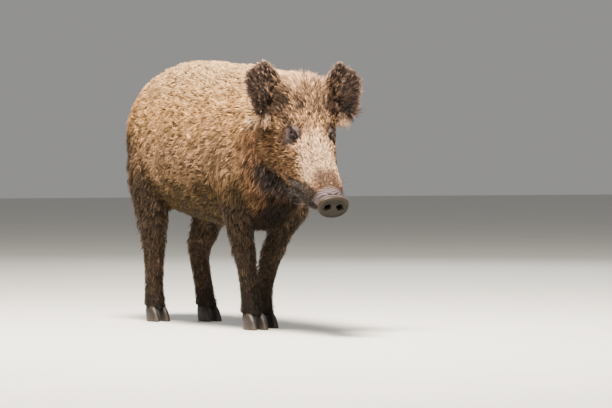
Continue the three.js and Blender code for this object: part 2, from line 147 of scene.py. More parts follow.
@dataclass
class Surface:
    """A mesh held as arrays: its points, and its faces with the same number of corners each."""

    points: Array
    faces: Array
    links: Array | None = None

    @classmethod
    def of(cls, mesh: bpy.types.Mesh) -> "Surface":
        """The surface of a Blender mesh whose faces all have as many corners."""
        points = np.zeros(len(mesh.vertices) * 3)
        mesh.vertices.foreach_get("co", points)
        loops = np.zeros(len(mesh.loops), np.int64)
        mesh.loops.foreach_get("vertex_index", loops)
        return cls(points.reshape(-1, 3), loops.reshape(len(mesh.polygons), -1))

    def edges(self) -> Array:
        """Pairs of neighbouring points, each once, found on first use."""
        if self.links is None:
            ahead = np.roll(self.faces, -1, axis=1)
            keys = np.minimum(self.faces, ahead) * len(self.points) + np.maximum(self.faces, ahead)
            self.links = np.stack(np.divmod(np.unique(keys), len(self.points)), axis=-1)
        return self.links

    def in_triangles(self) -> "Surface":
        """The same surface with its quads cut in two."""
        if self.faces.shape[1] == 3:
            return self
        halves = [self.faces[:, [0, 1, 2]], self.faces[:, [0, 2, 3]]]
        return Surface(self.points, np.concatenate(halves))

    def smoothed(self, values: Array, rounds: int, share: float = 0.6) -> Array:
        """Values at the points, evened out with those of their neighbours.

        Args:
            values: one row or number for each point.
            rounds: how often the evening is repeated.
            share: how far each point goes towards its neighbours' mean.

        Returns:
            The evened values, in the same shape.
        """
        first, second = self.edges().T
        count = len(self.points)
        degree = np.maximum(np.bincount(np.concatenate([first, second]), minlength=count), 1)
        result = np.array(values, float).reshape(count, -1)
        for _ in range(rounds):
            for column in range(result.shape[1]):
                now = result[:, column]
                total = np.bincount(first, now[second], count) + np.bincount(second, now[first], count)
                result[:, column] = now + (total / degree - now) * share
        return result.reshape(np.shape(values))

    def split(self, near: Array) -> "Surface":
        """The surface with every triangle edge between two chosen points halved.

        Args:
            near: for each point, whether it is chosen.

        Returns:
            A surface of triangles with more of them where points were chosen.
        """
        pairs = self.edges()
        cut = near[pairs].all(axis=1)
        number = np.full(len(pairs), -1)
        number[cut] = len(self.points) + np.arange(cut.sum())
        middles = self.points[pairs[cut]].mean(axis=1)
        keys = pairs[:, 0] * len(self.points) + pairs[:, 1]
        sides = np.sort(np.stack([self.faces, np.roll(self.faces, -1, axis=1)], axis=-1), axis=2)
        found = np.searchsorted(keys, sides[..., 0] * len(self.points) + sides[..., 1])
        halves = number[found]
        count = (halves >= 0).sum(axis=1)
        result = [self.faces[count == 0]]
        for turn in range(3):
            a, b, c = np.roll(self.faces, -turn, axis=1).T
            ab, bc, ca = np.roll(halves, -turn, axis=1).T
            one = (count == 1) & (ab >= 0)
            result.append(np.stack([a, ab, c], axis=-1)[one])
            result.append(np.stack([ab, b, c], axis=-1)[one])
            two = (count == 2) & (ca < 0)
            result.append(np.stack([ab, b, bc], axis=-1)[two])
            result.append(np.stack([a, ab, bc], axis=-1)[two])
            result.append(np.stack([a, bc, c], axis=-1)[two])
            if turn == 0:
                three = count == 3
                for corner in ((a, ab, ca), (ab, b, bc), (ca, bc, c), (ab, bc, ca)):
                    result.append(np.stack(corner, axis=-1)[three])
        return Surface(np.concatenate([self.points, middles]), np.concatenate(result))

    def normals(self) -> Array:
        """Outward directions at the points, weighted by the faces' areas."""
        corners = self.points[self.faces]
        across = np.cross(corners[:, 2] - corners[:, 0], corners[:, -1] - corners[:, 1])
        if self.faces.shape[1] == 3:
            across = np.cross(corners[:, 1] - corners[:, 0], corners[:, 2] - corners[:, 0])
        result = np.zeros_like(self.points)
        for column in range(3):
            weights = np.repeat(across[:, column], self.faces.shape[1])
            result[:, column] = np.bincount(self.faces.ravel(), weights, len(self.points))
        return unit(result)


@dataclass
class Patchwork:
    """A mesh under construction: points, triangles and what is known at each point."""

    points: list[Array] = field(default_factory=list)
    triangles: list[Array] = field(default_factory=list)
    notes: dict[str, list[Array]] = field(default_factory=dict)
    count: int = 0

    def add(self, points: Array, triangles: Array, **notes: Array) -> None:
        """Adds a closed shape, with a note of one row or number for each of its points."""
        self.triangles.append(triangles + self.count)
        self.points.append(points)
        self.count += len(points)
        for name, values in notes.items():
            self.notes.setdefault(name, []).append(values)

    def make(self, name: str, material: bpy.types.Material) -> bpy.types.Object:
        """The finished object, with smooth faces and its notes as attributes."""
        points = np.concatenate(self.points)
        triangles = np.concatenate(self.triangles)
        mesh = bpy.data.meshes.new(name)
        mesh.vertices.add(len(points))
        mesh.vertices.foreach_set("co", points.astype(np.float32).ravel())
        mesh.loops.add(triangles.size)
        mesh.loops.foreach_set("vertex_index", triangles.astype(np.int32).ravel())
        mesh.polygons.add(len(triangles))
        mesh.polygons.foreach_set("loop_start", np.arange(0, triangles.size, 3, dtype=np.int32))
        mesh.polygons.foreach_set("use_smooth", np.ones(len(triangles), bool))
        mesh.update(calc_edges=True)
        for note, parts in self.notes.items():
            values = np.concatenate(parts)
            if values.ndim == 2:
                noted(mesh, note, "FLOAT_COLOR", np.column_stack([values, np.ones(len(values))]))
            else:
                noted(mesh, note, "FLOAT", values)
        mesh.materials.append(material)
        return placed(name, mesh)


def formed(name: str, node: str, shape: tuple[Array, Array], finish: bpy.types.Material,
           **notes: Array) -> bpy.types.Object:
    """A piece of one closed shape, in the place of a node.

    Args:
        name: the piece's name.
        node: the node that it replaces.
        shape: its points and its triangles.
        finish: its material.
        notes: what is known at each of its points.

    Returns:
        The piece.
    """
    whole = Patchwork()
    whole.add(*shape, **notes)
    piece = whole.make(name, finish)
    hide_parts(node)
    return piece


def loft(rings: Array, close_ends: bool = True) -> tuple[Array, Array]:
    """Points and triangles of a tube through rings, with a pole at each end.

    Args:
        rings: places, as ring by point by coordinate; each ring turns the same way.
        close_ends: whether both ends are closed.

    Returns:
        The points, one row each, and the triangles.
    """
    levels, around = rings.shape[:2]
    points = rings.reshape(-1, 3)
    here = np.arange(levels * around).reshape(levels, around)
    ahead = np.roll(here, -1, axis=1)
    low = np.stack([here[:-1], ahead[:-1], ahead[1:]], axis=-1).reshape(-1, 3)
    high = np.stack([here[:-1], ahead[1:], here[1:]], axis=-1).reshape(-1, 3)
    triangles = [low, high]
    if close_ends:
        points = np.concatenate([points, rings[:1].mean(axis=1), rings[-1:].mean(axis=1)])
        start = np.full(around, levels * around)
        triangles.append(np.stack([start, ahead[0], here[0]], axis=-1))
        triangles.append(np.stack([start + 1, here[-1], ahead[-1]], axis=-1))
    return points, np.concatenate(triangles)


# ------------------------------------------------------------------ where things are


@dataclass(frozen=True)
class HeadFrame:
    """The head's axes and the places on it, worked out from the eyes and the snout disc."""

    eye_along: float = 4 * MM
    eye_above: float = 54 * MM
    disc_along: float = 269.5 * MM
    ear_root: Triple = (-114 * MM, 76 * MM, 76 * MM)

    def middles(self, *nodes: str) -> list[Array]:
        """The middles of the boxes of some nodes."""
        return [np.mean([np.array(corner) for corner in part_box(node)], axis=0) for node in nodes]

    def axes(self) -> Array:
        """Rows: the unit vectors along the muzzle, to the left and upwards."""
        left_eye, right_eye, disc = self.middles("eye_left", "eye_right", "snout_disc")
        left = unit(left_eye - right_eye)
        ahead = disc - (left_eye + right_eye) / 2.0
        ahead = unit(ahead - left * (ahead @ left))
        up = np.cross(ahead, left)
        pitch = math.atan2(self.eye_above, self.disc_along - self.eye_along)
        along = math.cos(pitch) * ahead + math.sin(pitch) * up
        return np.array([along, left, np.cross(along, left)])

    def origin(self) -> Array:
        """The point on the muzzle axis level with the eyes."""
        left_eye, right_eye = self.middles("eye_left", "eye_right")
        along, _, above = self.axes()
        return (left_eye + right_eye) / 2.0 - self.eye_along * along - self.eye_above * above

    def local(self, points: Array) -> Array:
        """Head measures of places of the part."""
        return (points - self.origin()) @ self.axes().T

    def place(self, measures: Array) -> Array:
        """Places of the part from head measures."""
        return self.origin() + np.asarray(measures) @ self.axes()

    def way(self, measures: Array) -> Array:
        """Directions of the part from directions of the head."""
        return np.asarray(measures) @ self.axes()


HEAD = HeadFrame()
SIDES = {"left": 1.0, "right": -1.0}
LEGS = ("foreleg_left", "foreleg_right", "hindleg_left", "hindleg_right")


class Region(Enum):
    """The parts of the body that differ in coat, each with the nodes that it covers."""

    TRUNK = ("trunk",)
    NECK = ("neck",)
    HEAD = ("head",)
    JAW = ("lower_jaw",)
    EARS = ("ear_left", "ear_right")
    THIGHS = tuple(f"{leg}_upper" for leg in LEGS)
    SHANKS = tuple(f"{leg}_lower" for leg in LEGS)
    TAIL = ("tail",)
    BRUSH = ("tail_brush",)


REGIONS = list(Region)
FLESH = [node for region in REGIONS for node in region.value]
HEAD_AND_JAW = (Region.HEAD, Region.JAW)
LIMBS = (Region.THIGHS, Region.SHANKS)
WHOLE_TAIL = (Region.TAIL, Region.BRUSH)


def share_of(shares: Array, *regions: Region) -> Array:
    """How much of each place belongs to some regions together."""
    return sum(shares[:, REGIONS.index(region)] for region in regions)


class Nearness:
    """Tells which region of the body each of many places belongs to."""

    def __init__(self) -> None:
        """Gathers the faces of all the nodes of flesh in one search tree."""
        points: list[Vector] = []
        faces: list[tuple[int, ...]] = []
        self.region_of_face: list[int] = []
        for number, region in enumerate(REGIONS):
            for node in region.value:
                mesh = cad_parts[node].data
                first = len(points)
                points.extend(vertex.co.copy() for vertex in mesh.vertices)
                faces.extend(tuple(first + i for i in face.vertices) for face in mesh.polygons)
                self.region_of_face.extend([number] * len(mesh.polygons))
        self.tree = BVHTree.FromPolygons(points, faces)

    def regions(self, points: Array) -> Array:
        """The number of the region nearest to each place."""
        found = (self.tree.find_nearest(Vector(point))[2] for point in points)
        return np.array([self.region_of_face[face] for face in found])

    def weights(self, surface: Surface, rounds: int) -> Array:
        """For each point of a surface, a softened share of each region.

        Args:
            surface: the skin, or a stage of it.
            rounds: how far the regions run into each other.

        Returns:
            A row for each point and a column for each region.
        """
        shares = np.eye(len(REGIONS))[self.regions(surface.points)]
        return surface.smoothed(shares, rounds)


@dataclass(frozen=True)
class EyePlace:
    """Where one eye sits, which way it looks, and the slit between its lids."""

    side: float
    radius: float = 12.0 * MM
    sunk: float = 2.5 * MM
    slit_long: float = math.radians(64.0)
    slit_high: float = math.radians(38.0)
    slit_low: float = math.radians(30.0)
    slit_round: float = 1.45

    def gaze(self) -> Array:
        """The way the eye looks: out, forwards and a little up."""
        return unit(HEAD.way([0.42, 0.86 * self.side, 0.30]))

    def ahead(self) -> Array:
        """Along the slit, towards the snout."""
        along = HEAD.way([0.99, 0.0, -0.10])
        return unit(along - self.gaze() * (along @ self.gaze()))

    def up(self) -> Array:
        """Across the slit, towards the brow."""
        return unit(np.cross(self.gaze(), self.ahead())) * -self.side

    def centre(self) -> Array:
        """The middle of the eyeball."""
        node = "eye_left" if self.side > 0 else "eye_right"
        return HEAD.middles(node)[0] - self.gaze() * self.sunk

    def slit(self, turn: Array) -> Array:
        """The angle from the gaze to the lids' edge, at a turn round the gaze."""
        high = np.where(np.sin(turn) > 0, self.slit_high, self.slit_low)
        across = (np.abs(np.cos(turn)) / self.slit_long) ** self.slit_round
        across = across + (np.abs(np.sin(turn)) / high) ** self.slit_round
        return across ** (-1.0 / self.slit_round)

    def distance(self, points: Array) -> Array:
        """How far places lie from the eye's middle."""
        return np.linalg.norm(points - self.centre(), axis=1)

    def polar(self, points: Array) -> tuple[Array, Array, Array]:
        """Distance from the eye's middle, angle from the gaze and turn round it."""
        away, distance = points - self.centre(), self.distance(points)
        angle = np.arccos(np.clip(away @ self.gaze() / np.maximum(distance, 1e-9), -1.0, 1.0))
        return distance, angle, np.arctan2(away @ self.up(), away @ self.ahead())

    def oval(self, points: Array, ahead: float, up: float, long: float, high: float) -> Array:
        """How far places lie from the middle of an oval beside the eye, 1 at its edge.

        Args:
            points: places of the part.
            ahead: how far the oval's middle lies towards the snout, in millimetres.
            up: how far it lies above the eye, in millimetres.
            long: half the oval's length, in millimetres.
            high: half its height, in millimetres.

        Returns:
            One number for each place.
        """
        away = points - self.centre()
        forth, rise = away @ self.ahead() - ahead * MM, away @ self.up() - up * MM
        return np.hypot(forth / long, rise / high) / MM

    def spin(self, turn: Array) -> Array:
        """Directions across the gaze, at turns round it."""
        return np.cos(turn)[..., None] * self.ahead() + np.sin(turn)[..., None] * self.up()

    def on_ball(self, radius: Array, angle: Array, turn: Array) -> Array:
        """Places from a radius, an angle from the gaze and a turn round it."""
        way = np.cos(angle)[..., None] * self.gaze() + np.sin(angle)[..., None] * self.spin(turn)
        return self.centre() + np.asarray(radius)[..., None] * way


EYES = [EyePlace(side) for side in SIDES.values()]


def modified(points: Array, faces: list[list[int]], kind: str, **settings: object) -> Surface:
    """The surface that a modifier makes of a mesh, with nothing left in the scene.

    Args:
        points: the mesh's points.
        faces: its faces, each as the numbers of its points.
        kind: the modifier's type.
        settings: the modifier's properties.

    Returns:
        The modifier's result.
    """
    mesh = bpy.data.meshes.new("shape")
    mesh.from_pydata(points.tolist(), [], faces)
    holder = placed("shape", mesh)
    modifier = holder.modifiers.new("change", kind)
    for name, value in settings.items():
        setattr(modifier, name, value)
    result = evaluated(holder)
    surface = Surface.of(result)
    bpy.data.meshes.remove(mesh)
    bpy.data.meshes.remove(result)
    return surface


def flesh_of(*nodes: str) -> Surface:
    """One surface of triangles with copies of some nodes' shapes in it."""
    shape = bmesh.new()
    for node in nodes:
        shape.from_mesh(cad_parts[node].data)
    bmesh.ops.remove_doubles(shape, verts=shape.verts, dist=0.01 * MM)
    bmesh.ops.triangulate(shape, faces=shape.faces)
    mesh = bpy.data.meshes.new("flesh")
    shape.to_mesh(mesh)
    shape.free()
    surface = Surface.of(mesh)
    bpy.data.meshes.remove(mesh)
    return surface


def fused(parts: list[Surface], voxel: float) -> Surface:
    """One closed surface round several that overlap or nearly touch.

    Args:
        parts: closed surfaces.
        voxel: size of the new surface's faces, in metres.

    Returns:
        The outer surface, in even quads.
    """
    points: list[Array] = []
    faces: list[list[int]] = []
    for part in parts:
        faces.extend((part.faces + sum(len(earlier) for earlier in points)).tolist())
        points.append(part.points)
    return modified(np.concatenate(points), faces, "REMESH", mode="VOXEL", voxel_size=voxel)


# ------------------------------------------------------------------ ears and snout disc


@dataclass(frozen=True)
class Ear:
    """One ear: a cupped blade, given by the reach of its two edges at levels up its length."""

    side: float
    length: float = 128 * MM
    cup: float = 26 * MM
    lean: float = 14 * MM
    drawn_in: float = 0.87
    half_thick: float = 2.2 * MM
    shares: tuple[float, ...] = (-0.3, -0.14, 0.14, 0.4, 0.64, 0.84, 0.96, 1.0)
    outer: tuple[float, ...] = (62, 82, 90, 84, 70, 50, 27, 8)
    inner: tuple[float, ...] = (-34, 2, 36, 43, 42, 34, 22, 10)

    def axes(self) -> Array:
        """Rows: across towards the outer edge, up the ear, and out of the cup."""
        tall = unit(np.array([-66.0, 66.0, 82.0]))
        across = unit(np.cross(tall, [0.66, -0.02, 0.75]))
        rows = np.array([across, tall, np.cross(across, tall)])
        rows[:, 1] *= self.side
        return HEAD.way(rows)

    def root(self) -> Array:
        """The ear's foot, where its own measures start."""
        along, out, above = HEAD.ear_root
        return HEAD.place([along, out * self.side, above])

    def local(self, points: Array) -> Array:
        """The ear's own measures of places: across, up and out of the cup."""
        return (points - self.root()) @ self.axes().T

    def beside(self, points: Array) -> Array:
        """Whether places lie on the ear's side of the head."""
        return HEAD.local(points)[:, 1] * self.side > 0

    def share_across(self, measures: Array) -> Array:
        """How far places lie from the inner edge (0) to the outer one (1)."""
        level = measures[:, 1] / self.length
        outer = np.interp(level, self.shares, self.outer) * MM
        inner = np.interp(level, self.shares, self.inner) * MM
        return (measures[:, 0] + inner) / np.maximum(outer + inner, 5 * MM)

    def blade(self, steps: int = 36, spans: int = 34) -> Surface:
        """The ear's flesh as a thin closed blade.

        Args:
            steps: levels up the ear.
            spans: faces across it.

        Returns:
            The blade, which reaches into the head at its foot.
        """
        level = np.linspace(-0.3, 0.93, steps)[:, None]
        across = np.linspace(0.0, 1.0, spans + 1)[None, :]
        outer = np.interp(level, self.shares, self.outer) * MM * self.drawn_in
        inner = np.interp(level, self.shares, self.inner) * MM * self.drawn_in
        reach = -inner + (outer + inner) * across
        turned = reach / np.where(reach > 0, max(self.outer), max(self.inner)) / MM
        bend = self.cup * turned**2 * (1.0 - 0.55 * level) - self.lean * level**2
        rim = self.half_thick * (1.0 - 0.3 * (2.0 * across - 1.0) ** 4)
        fold = 1.2 * MM * np.sin(across * 9.0 * math.pi) * ease(0.0, 0.4, level) * np.sin(across * math.pi)
        front = np.stack(np.broadcast_arrays(reach, level * self.length, bend + rim + fold), axis=-1)
        rear = front - rim[..., None] * [0.0, 0.0, 2.0]
        rings = np.concatenate([front, rear[:, ::-1]], axis=1)
        points, triangles = loft(rings)
        return Surface(self.root() + points @ self.axes(), triangles)


EARS = [Ear(side) for side in SIDES.values()]


@dataclass(frozen=True)
class SnoutDisc:
    """The bare disc of the snout, with its raised rim and two nostrils."""

    half: float = 46 * MM
    rise: float = 35 * MM
    back: float = 250 * MM
    tilt: float = math.radians(6.0)
    around: int = 128
    face_rings: int = 34
    nostril_side: float = 18.0 * MM
    nostril_above: float = 2.0 * MM
    nostril_deep: float = 15 * MM
    flare: tuple[tuple[float, float], ...] = (
        (0.66, -10), (0.76, -4), (0.83, 2), (0.885, 7), (0.93, 11.5), (0.965, 15), (0.99, 18),
        (1.0, 20.5), (0.997, 23), (0.982, 25.2), (0.958, 26.6), (0.93, 26.8),
    )

    def outline(self, turn: Array) -> Array:
        """Side and height of the disc's edge, at turns from the top towards the left."""
        sine, cosine = np.sin(turn), np.cos(turn)
        side = boxy(sine) * (1.0 + 0.05 * cosine)
        return np.stack([self.half * side, self.rise * boxy(cosine)], axis=-1)

    def hollows(self, side: Array, height: Array) -> Array:
        """How far the face lies behind its own plane at a place on it."""
        depth = np.zeros_like(side)
        for way in SIDES.values():
            away = np.stack([side - way * self.nostril_side, height - self.nostril_above], axis=-1)
            turn = math.radians(34.0) * way
            long = away[..., 0] * math.sin(turn) + away[..., 1] * math.cos(turn)
            wide = away[..., 0] * math.cos(turn) - away[..., 1] * math.sin(turn)
            reach = np.hypot(wide / (10.8 * MM), long / (8.6 * MM))
            depth += self.nostril_deep * (1.0 - ease(0.45, 1.12, reach))
            depth -= 1.7 * MM * bell(reach, 1.5, 0.24)
            slit = np.hypot((away[..., 0] * way - 10 * MM) / (8 * MM), (away[..., 1] + 5 * MM) / (2.6 * MM))
            depth += 2.6 * MM * (1.0 - ease(0.2, 1.1, slit))
        depth += 1.1 * MM * bell(side, 0.0, 2.2 * MM) * ease(2 * MM, -12 * MM, height)
        return depth

    def shell(self) -> tuple[Array, Array]:
        """Points and triangles of the disc, closed behind inside the muzzle."""
        turn = circle(self.around)
        edge = self.outline(turn)
        rings = []
        for scale, ahead in self.flare:
            rings.append(np.column_stack([np.full(self.around, ahead * MM), edge * scale]))
        for number in range(1, self.face_rings):
            share = 1.0 - number / self.face_rings
            plane = edge * 0.93 * share
            sunk = 2.0 * MM * (1.0 - ease(0.80, 1.0, share)) + self.hollows(plane[:, 0], plane[:, 1])
            crinkle = 0.35 * MM * np.sin(plane[:, 0] / (1.9 * MM)) * np.sin(plane[:, 1] / (2.3 * MM))
            rings.append(np.column_stack([26.8 * MM - sunk + crinkle, plane]))
        points, triangles = loft(np.array(rings))
        tilt = np.array([[math.cos(self.tilt), 0.0, math.sin(self.tilt)], [0.0, 1.0, 0.0],
                         [-math.sin(self.tilt), 0.0, math.cos(self.tilt)]])
        return HEAD.place(points @ tilt + [self.back, 0.0, 0.0]), triangles[:, ::-1]


# ------------------------------------------------------------------ skin


@dataclass(frozen=True)
class CoatDepth:
    """How far the skin lies below the outside of the coat, in metres, region by region."""

    trunk: float = 15 * MM
    neck: float = 16 * MM
    cheeks: float = 10 * MM
    crown: float = 10 * MM
    muzzle: float = 3 * MM
    thighs: float = 12 * MM
    shanks: float = 6 * MM
    tail: float = 3 * MM
    brush: float = 6 * MM
    eyes: float = 1.5 * MM

    def over(self, points: Array, shares: Array) -> Array:
        """The depth at places.

        Args:
            points: places of the part.
            shares: their shares of the regions.

        Returns:
            One depth for each place.
        """
        along, side, _ = HEAD.local(points).T
        face = self.crown + (self.muzzle - self.crown) * ease(-90 * MM, 190 * MM, along)
        face += (self.cheeks - face) * ease(45 * MM, 80 * MM, np.abs(side)) * ease(60 * MM, -20 * MM, along)
        for eye in EYES:
            face += (self.eyes - face) * bell(eye.distance(points), 0.0, 24 * MM)
        jaw = self.cheeks + (self.muzzle - self.cheeks) * ease(40 * MM, 200 * MM, along)
        shanks = self.shanks - 2 * MM * ease(130 * MM, 60 * MM, points[:, 2])
        columns = [self.trunk, self.neck, face, jaw, self.crown, self.thighs, shanks, self.tail, self.brush]
        return sum(shares[:, number] * column for number, column in enumerate(columns))


@dataclass(frozen=True)
class MouthLine:
    """Where the two jaws meet, in head measures; along and above are in millimetres."""

    along: tuple[float, ...] = (40, 120, 196, 262)
    above: tuple[float, ...] = (-48, -36, -25, -19)
    corner: float = 74 * MM

    def offset(self, measures: Array) -> Array:
        """Height of places over the mouth line."""
        line = np.interp(measures[:, 0], np.array(self.along) * MM, np.array(self.above) * MM)
        return measures[:, 2] - line


MOUTH = MouthLine()


@dataclass
class Hide:
    """The one skin of the animal, from the snout disc to the tail, inside the coat.

    Each fold over the eye has its angle beyond the slit and its breadth, in degrees, and its
    height in millimetres. A point of the lids' profile has its angle and its height.
    """

    depth: CoatDepth = field(default_factory=CoatDepth)
    coarse: float = 5 * MM
    fine: float = 2.6 * MM
    triangles: int = 182_000
    eye_folds: tuple[Triple, ...] = ((9, 4.5, 1.5), (20, 4, -1.6), (32, 8, 1.6))
    lid_profile: tuple[tuple[float, float], ...] = (
        (-1.5, 0.15), (0.5, 1.0), (4.5, 1.75), (10.0, 2.35), (17.0, 2.3), (24.0, 1.6), (30.0, 0.4),
        (30.0, -1.5), (14.0, -1.5), (2.0, -1.2),
    )

    def body(self) -> Surface:
        """The body drawn in by the coat's depth, without ears, snout disc and hooves."""
        plain = [node for node in FLESH if not node.startswith("ear")]
        surface = fused([flesh_of(*plain, "eye_left", "eye_right")], self.coarse)
        shares = NEAR.weights(surface, 14)
        bulk = share_of(shares, Region.TRUNK, Region.NECK)
        slim = ease(0.1, 0.6, share_of(shares, *WHOLE_TAIL))
        even = blended(surface.smoothed(surface.points, 5), surface.smoothed(surface.points, 1), slim)
        surface.points = blended(even, surface.smoothed(even, 14), bulk)
        depth = surface.smoothed(self.depth.over(surface.points, shares), 4)
        surface.points = surface.points - surface.normals() * depth[:, None]
        surface.points = blended(surface.smoothed(surface.points, 2), surface.points, slim)
        return surface

    def refined(self, surface: Surface) -> Surface:
        """The skin with finer faces round the eyes and at the end of the muzzle."""
        for eye_reach, muzzle_from in ((40 * MM, 150 * MM), (25 * MM, 400 * MM)):
            near = HEAD.local(surface.points)[:, 0] > muzzle_from
            for eye in EYES:
                near |= eye.distance(surface.points) < eye_reach
            surface = surface.split(near)
        return surface

    def close_round_eye(self, surface: Surface, eye: EyePlace) -> None:
        """Shapes the lids and the folds round one eye, and opens the slit over its ball."""
        distance, angle, turn = eye.polar(surface.points)
        slit = eye.slit(turn)
        near = (distance < 48 * MM) & (angle < 2.0)
        hold = (1.0 - ease(math.radians(14), math.radians(62), angle - slit)) * near
        lid = eye.radius + 1.7 * MM
        reach = distance + (lid - distance) * hold
        beyond = np.degrees(angle - slit)
        upper = ease(-0.2, 0.5, np.sin(turn))
        folds = sum(high * MM * bell(beyond, at, broad) * upper for at, broad, high in self.eye_folds)
        folds += (1.0 - upper) * 0.8 * MM * np.sin(beyond / 3.0) * bell(beyond, 26, 14)
        reach = reach + folds * near * (angle < 1.9)
        reach = np.where(near, np.maximum(reach, eye.radius + 0.8 * MM), reach)
        reach = np.where(near & (angle < slit), eye.radius - 1.6 * MM, reach)
        moved = eye.on_ball(reach, angle, turn)
        surface.points = np.where(near[:, None], moved, surface.points)

    def sculpt(self, surface: Surface) -> None:
        """Adds the mouth, the wrinkles of the muzzle and the hollows of the ears."""
        measures = HEAD.local(surface.points)
        along, side, above = measures.T
        outward = surface.normals()
        over = MOUTH.offset(measures)
        closed = ease(MOUTH.corner - 14 * MM, MOUTH.corner + 10 * MM, along)
        closed = closed * ease(200 * MM, 150 * MM, np.abs(above))
        push = -4.6 * MM * bell(over, 0.0, 2.6 * MM) + 2.4 * MM * bell(over, 8 * MM, 5 * MM)
        push += 1.0 * MM * bell(over, -9 * MM, 6 * MM)
        push = push * closed
        bare = ease(205 * MM, 222 * MM, along) * ease(-30 * MM, -8 * MM, above)
        curved = along + 0.35 * np.abs(side) - 0.18 * above
        push += bare * 0.9 * MM * np.sin(curved / (1.35 * MM) + 1.5 * ripple(surface.points, 30 * MM, 3))
        push += 3.0 * MM * ease(226 * MM, 246 * MM, along) * ease(-24 * MM, -6 * MM, above)
        surface.points = surface.points + outward * push[:, None]
        for ear in EARS:
            canal = ear.local(surface.points) - np.array([14 * MM, 6 * MM, 6 * MM])
            depth = 11 * MM * bell(np.linalg.norm(canal * [0.8, 1.0, 0.6], axis=1), 0.0, 12 * MM)
            surface.points = surface.points - ear.axes()[2] * depth[:, None]

    def thinned(self, surface: Surface) -> Surface:
        """The skin with fewer faces, fewest where it is flat."""
        ratio = min(1.0, self.triangles / len(surface.faces))
        return modified(surface.points, surface.faces.tolist(), "DECIMATE", ratio=ratio)

    def surface(self) -> Surface:
        """The finished skin without its separate lids and snout disc."""
        whole = fused([self.body().in_triangles()] + [ear.blade() for ear in EARS], self.fine)
        whole.points = whole.smoothed(whole.points, 2, 0.5)
        whole = self.refined(whole.in_triangles())
        self.sculpt(whole)
        for eye in EYES:
            self.close_round_eye(whole, eye)
        return self.thinned(whole)

    def lids(self, eye: EyePlace) -> tuple[Array, Array]:
        """The thick edge of the two lids of an eye, as a closed ring that hugs the ball."""
        turn = circle(72)
        slit = eye.slit(turn)
        rings = []
        for beyond, height in self.lid_profile:
            reach = np.full_like(turn, eye.radius + height * MM)
            rings.append(eye.on_ball(reach, slit + math.radians(beyond), turn))
        around = np.array(rings).transpose(1, 0, 2)
        around = np.concatenate([around, around[:1]])
        points, triangles = loft(around, close_ends=False)
        last = len(turn) * len(self.lid_profile)
        triangles = np.where(triangles >= last, triangles - last, triangles)
        return points[:last], triangles[:, ::-1] if eye.side > 0 else triangles


NEAR = Nearness()


# ------------------------------------------------------------------ markings and painted shade, the same on skin and coat


@dataclass(frozen=True)
class Palette:
    """The colours of the animal, each as it looks on a screen, in steps of 255; some hold painted shade as
    well.
    """

    back: Shade = (248, 203, 148)
    upper_side: Shade = (212, 164, 110)
    side: Shade = (162, 127, 95)
    # The lower side and belly: the coat's own darker colour with painted shade on the underside.
    lower_side: Shade = (84, 66, 40)
    belly: Shade = (44, 31, 10)
    rump: Shade = (222, 167, 106)
    rump_low: Shade = (62, 48, 31)
    legs: Shade = (72, 58, 46)
    feet: Shade = (50, 40, 33)
    # Nearly black: dark hair under the body and head, with painted shadow on it.
    dark_hair_and_shadow: Shade = (16, 9, 4)
    neck: Shade = (122, 89, 63)
    neck_dark: Shade = (98, 66, 48)
    forehead: Shade = (168, 129, 92)
    crown: Shade = (182, 144, 111)
    bridge: Shade = (200, 165, 129)
    streak: Shade = (56, 41, 32)
    cheek: Shade = (118, 88, 60)
    jaw: Shade = (80, 61, 41)
    # Painted shadow of the jaw on the throat.
    throat_shadow: Shade = (46, 43, 44)
    muzzle: Shade = (168, 127, 98)
    nose_top: Shade = (84, 60, 46)
    bare: Shade = (80, 68, 70)
    lip: Shade = (46, 37, 33)
    eye_skin: Shade = (66, 55, 55)
    lid: Shade = (26, 20, 21)
    ear_inside: Shade = (37, 27, 21)
    ear_edge: Shade = (116, 93, 80)
    ear_fringe: Shade = (226, 186, 152)
    ear_back: Shade = (124, 102, 84)
    # Painted shade on the down-turned disc, over its own dark skin.
    disc: Shade = (22, 16, 9)
    disc_rim: Shade = (44, 34, 25)
    # Painted shade deep in the nostrils.
    nostril_shade: Shade = (22, 16, 14)

    def light(self, name: str) -> Array:
        """A colour of the palette as linear light."""
        return colour(*getattr(self, name))

    def washed(self, tint: Array, *layers: tuple[str, Array]) -> Array:
        """Colours with named ones laid over them in turn, each by a share for each place."""
        for name, share in layers:
            tint = blended(tint, self.light(name), share)
        return tint

    def ramp(self, value: Array, stops: list[tuple[float, str]]) -> Array:
        """Colours between named ones, by a number for each place."""
        levels = [level for level, _ in stops]
        rows = np.array([self.light(name) for _, name in stops])
        return np.stack([np.interp(value, levels, rows[:, i]) for i in range(3)], axis=-1)


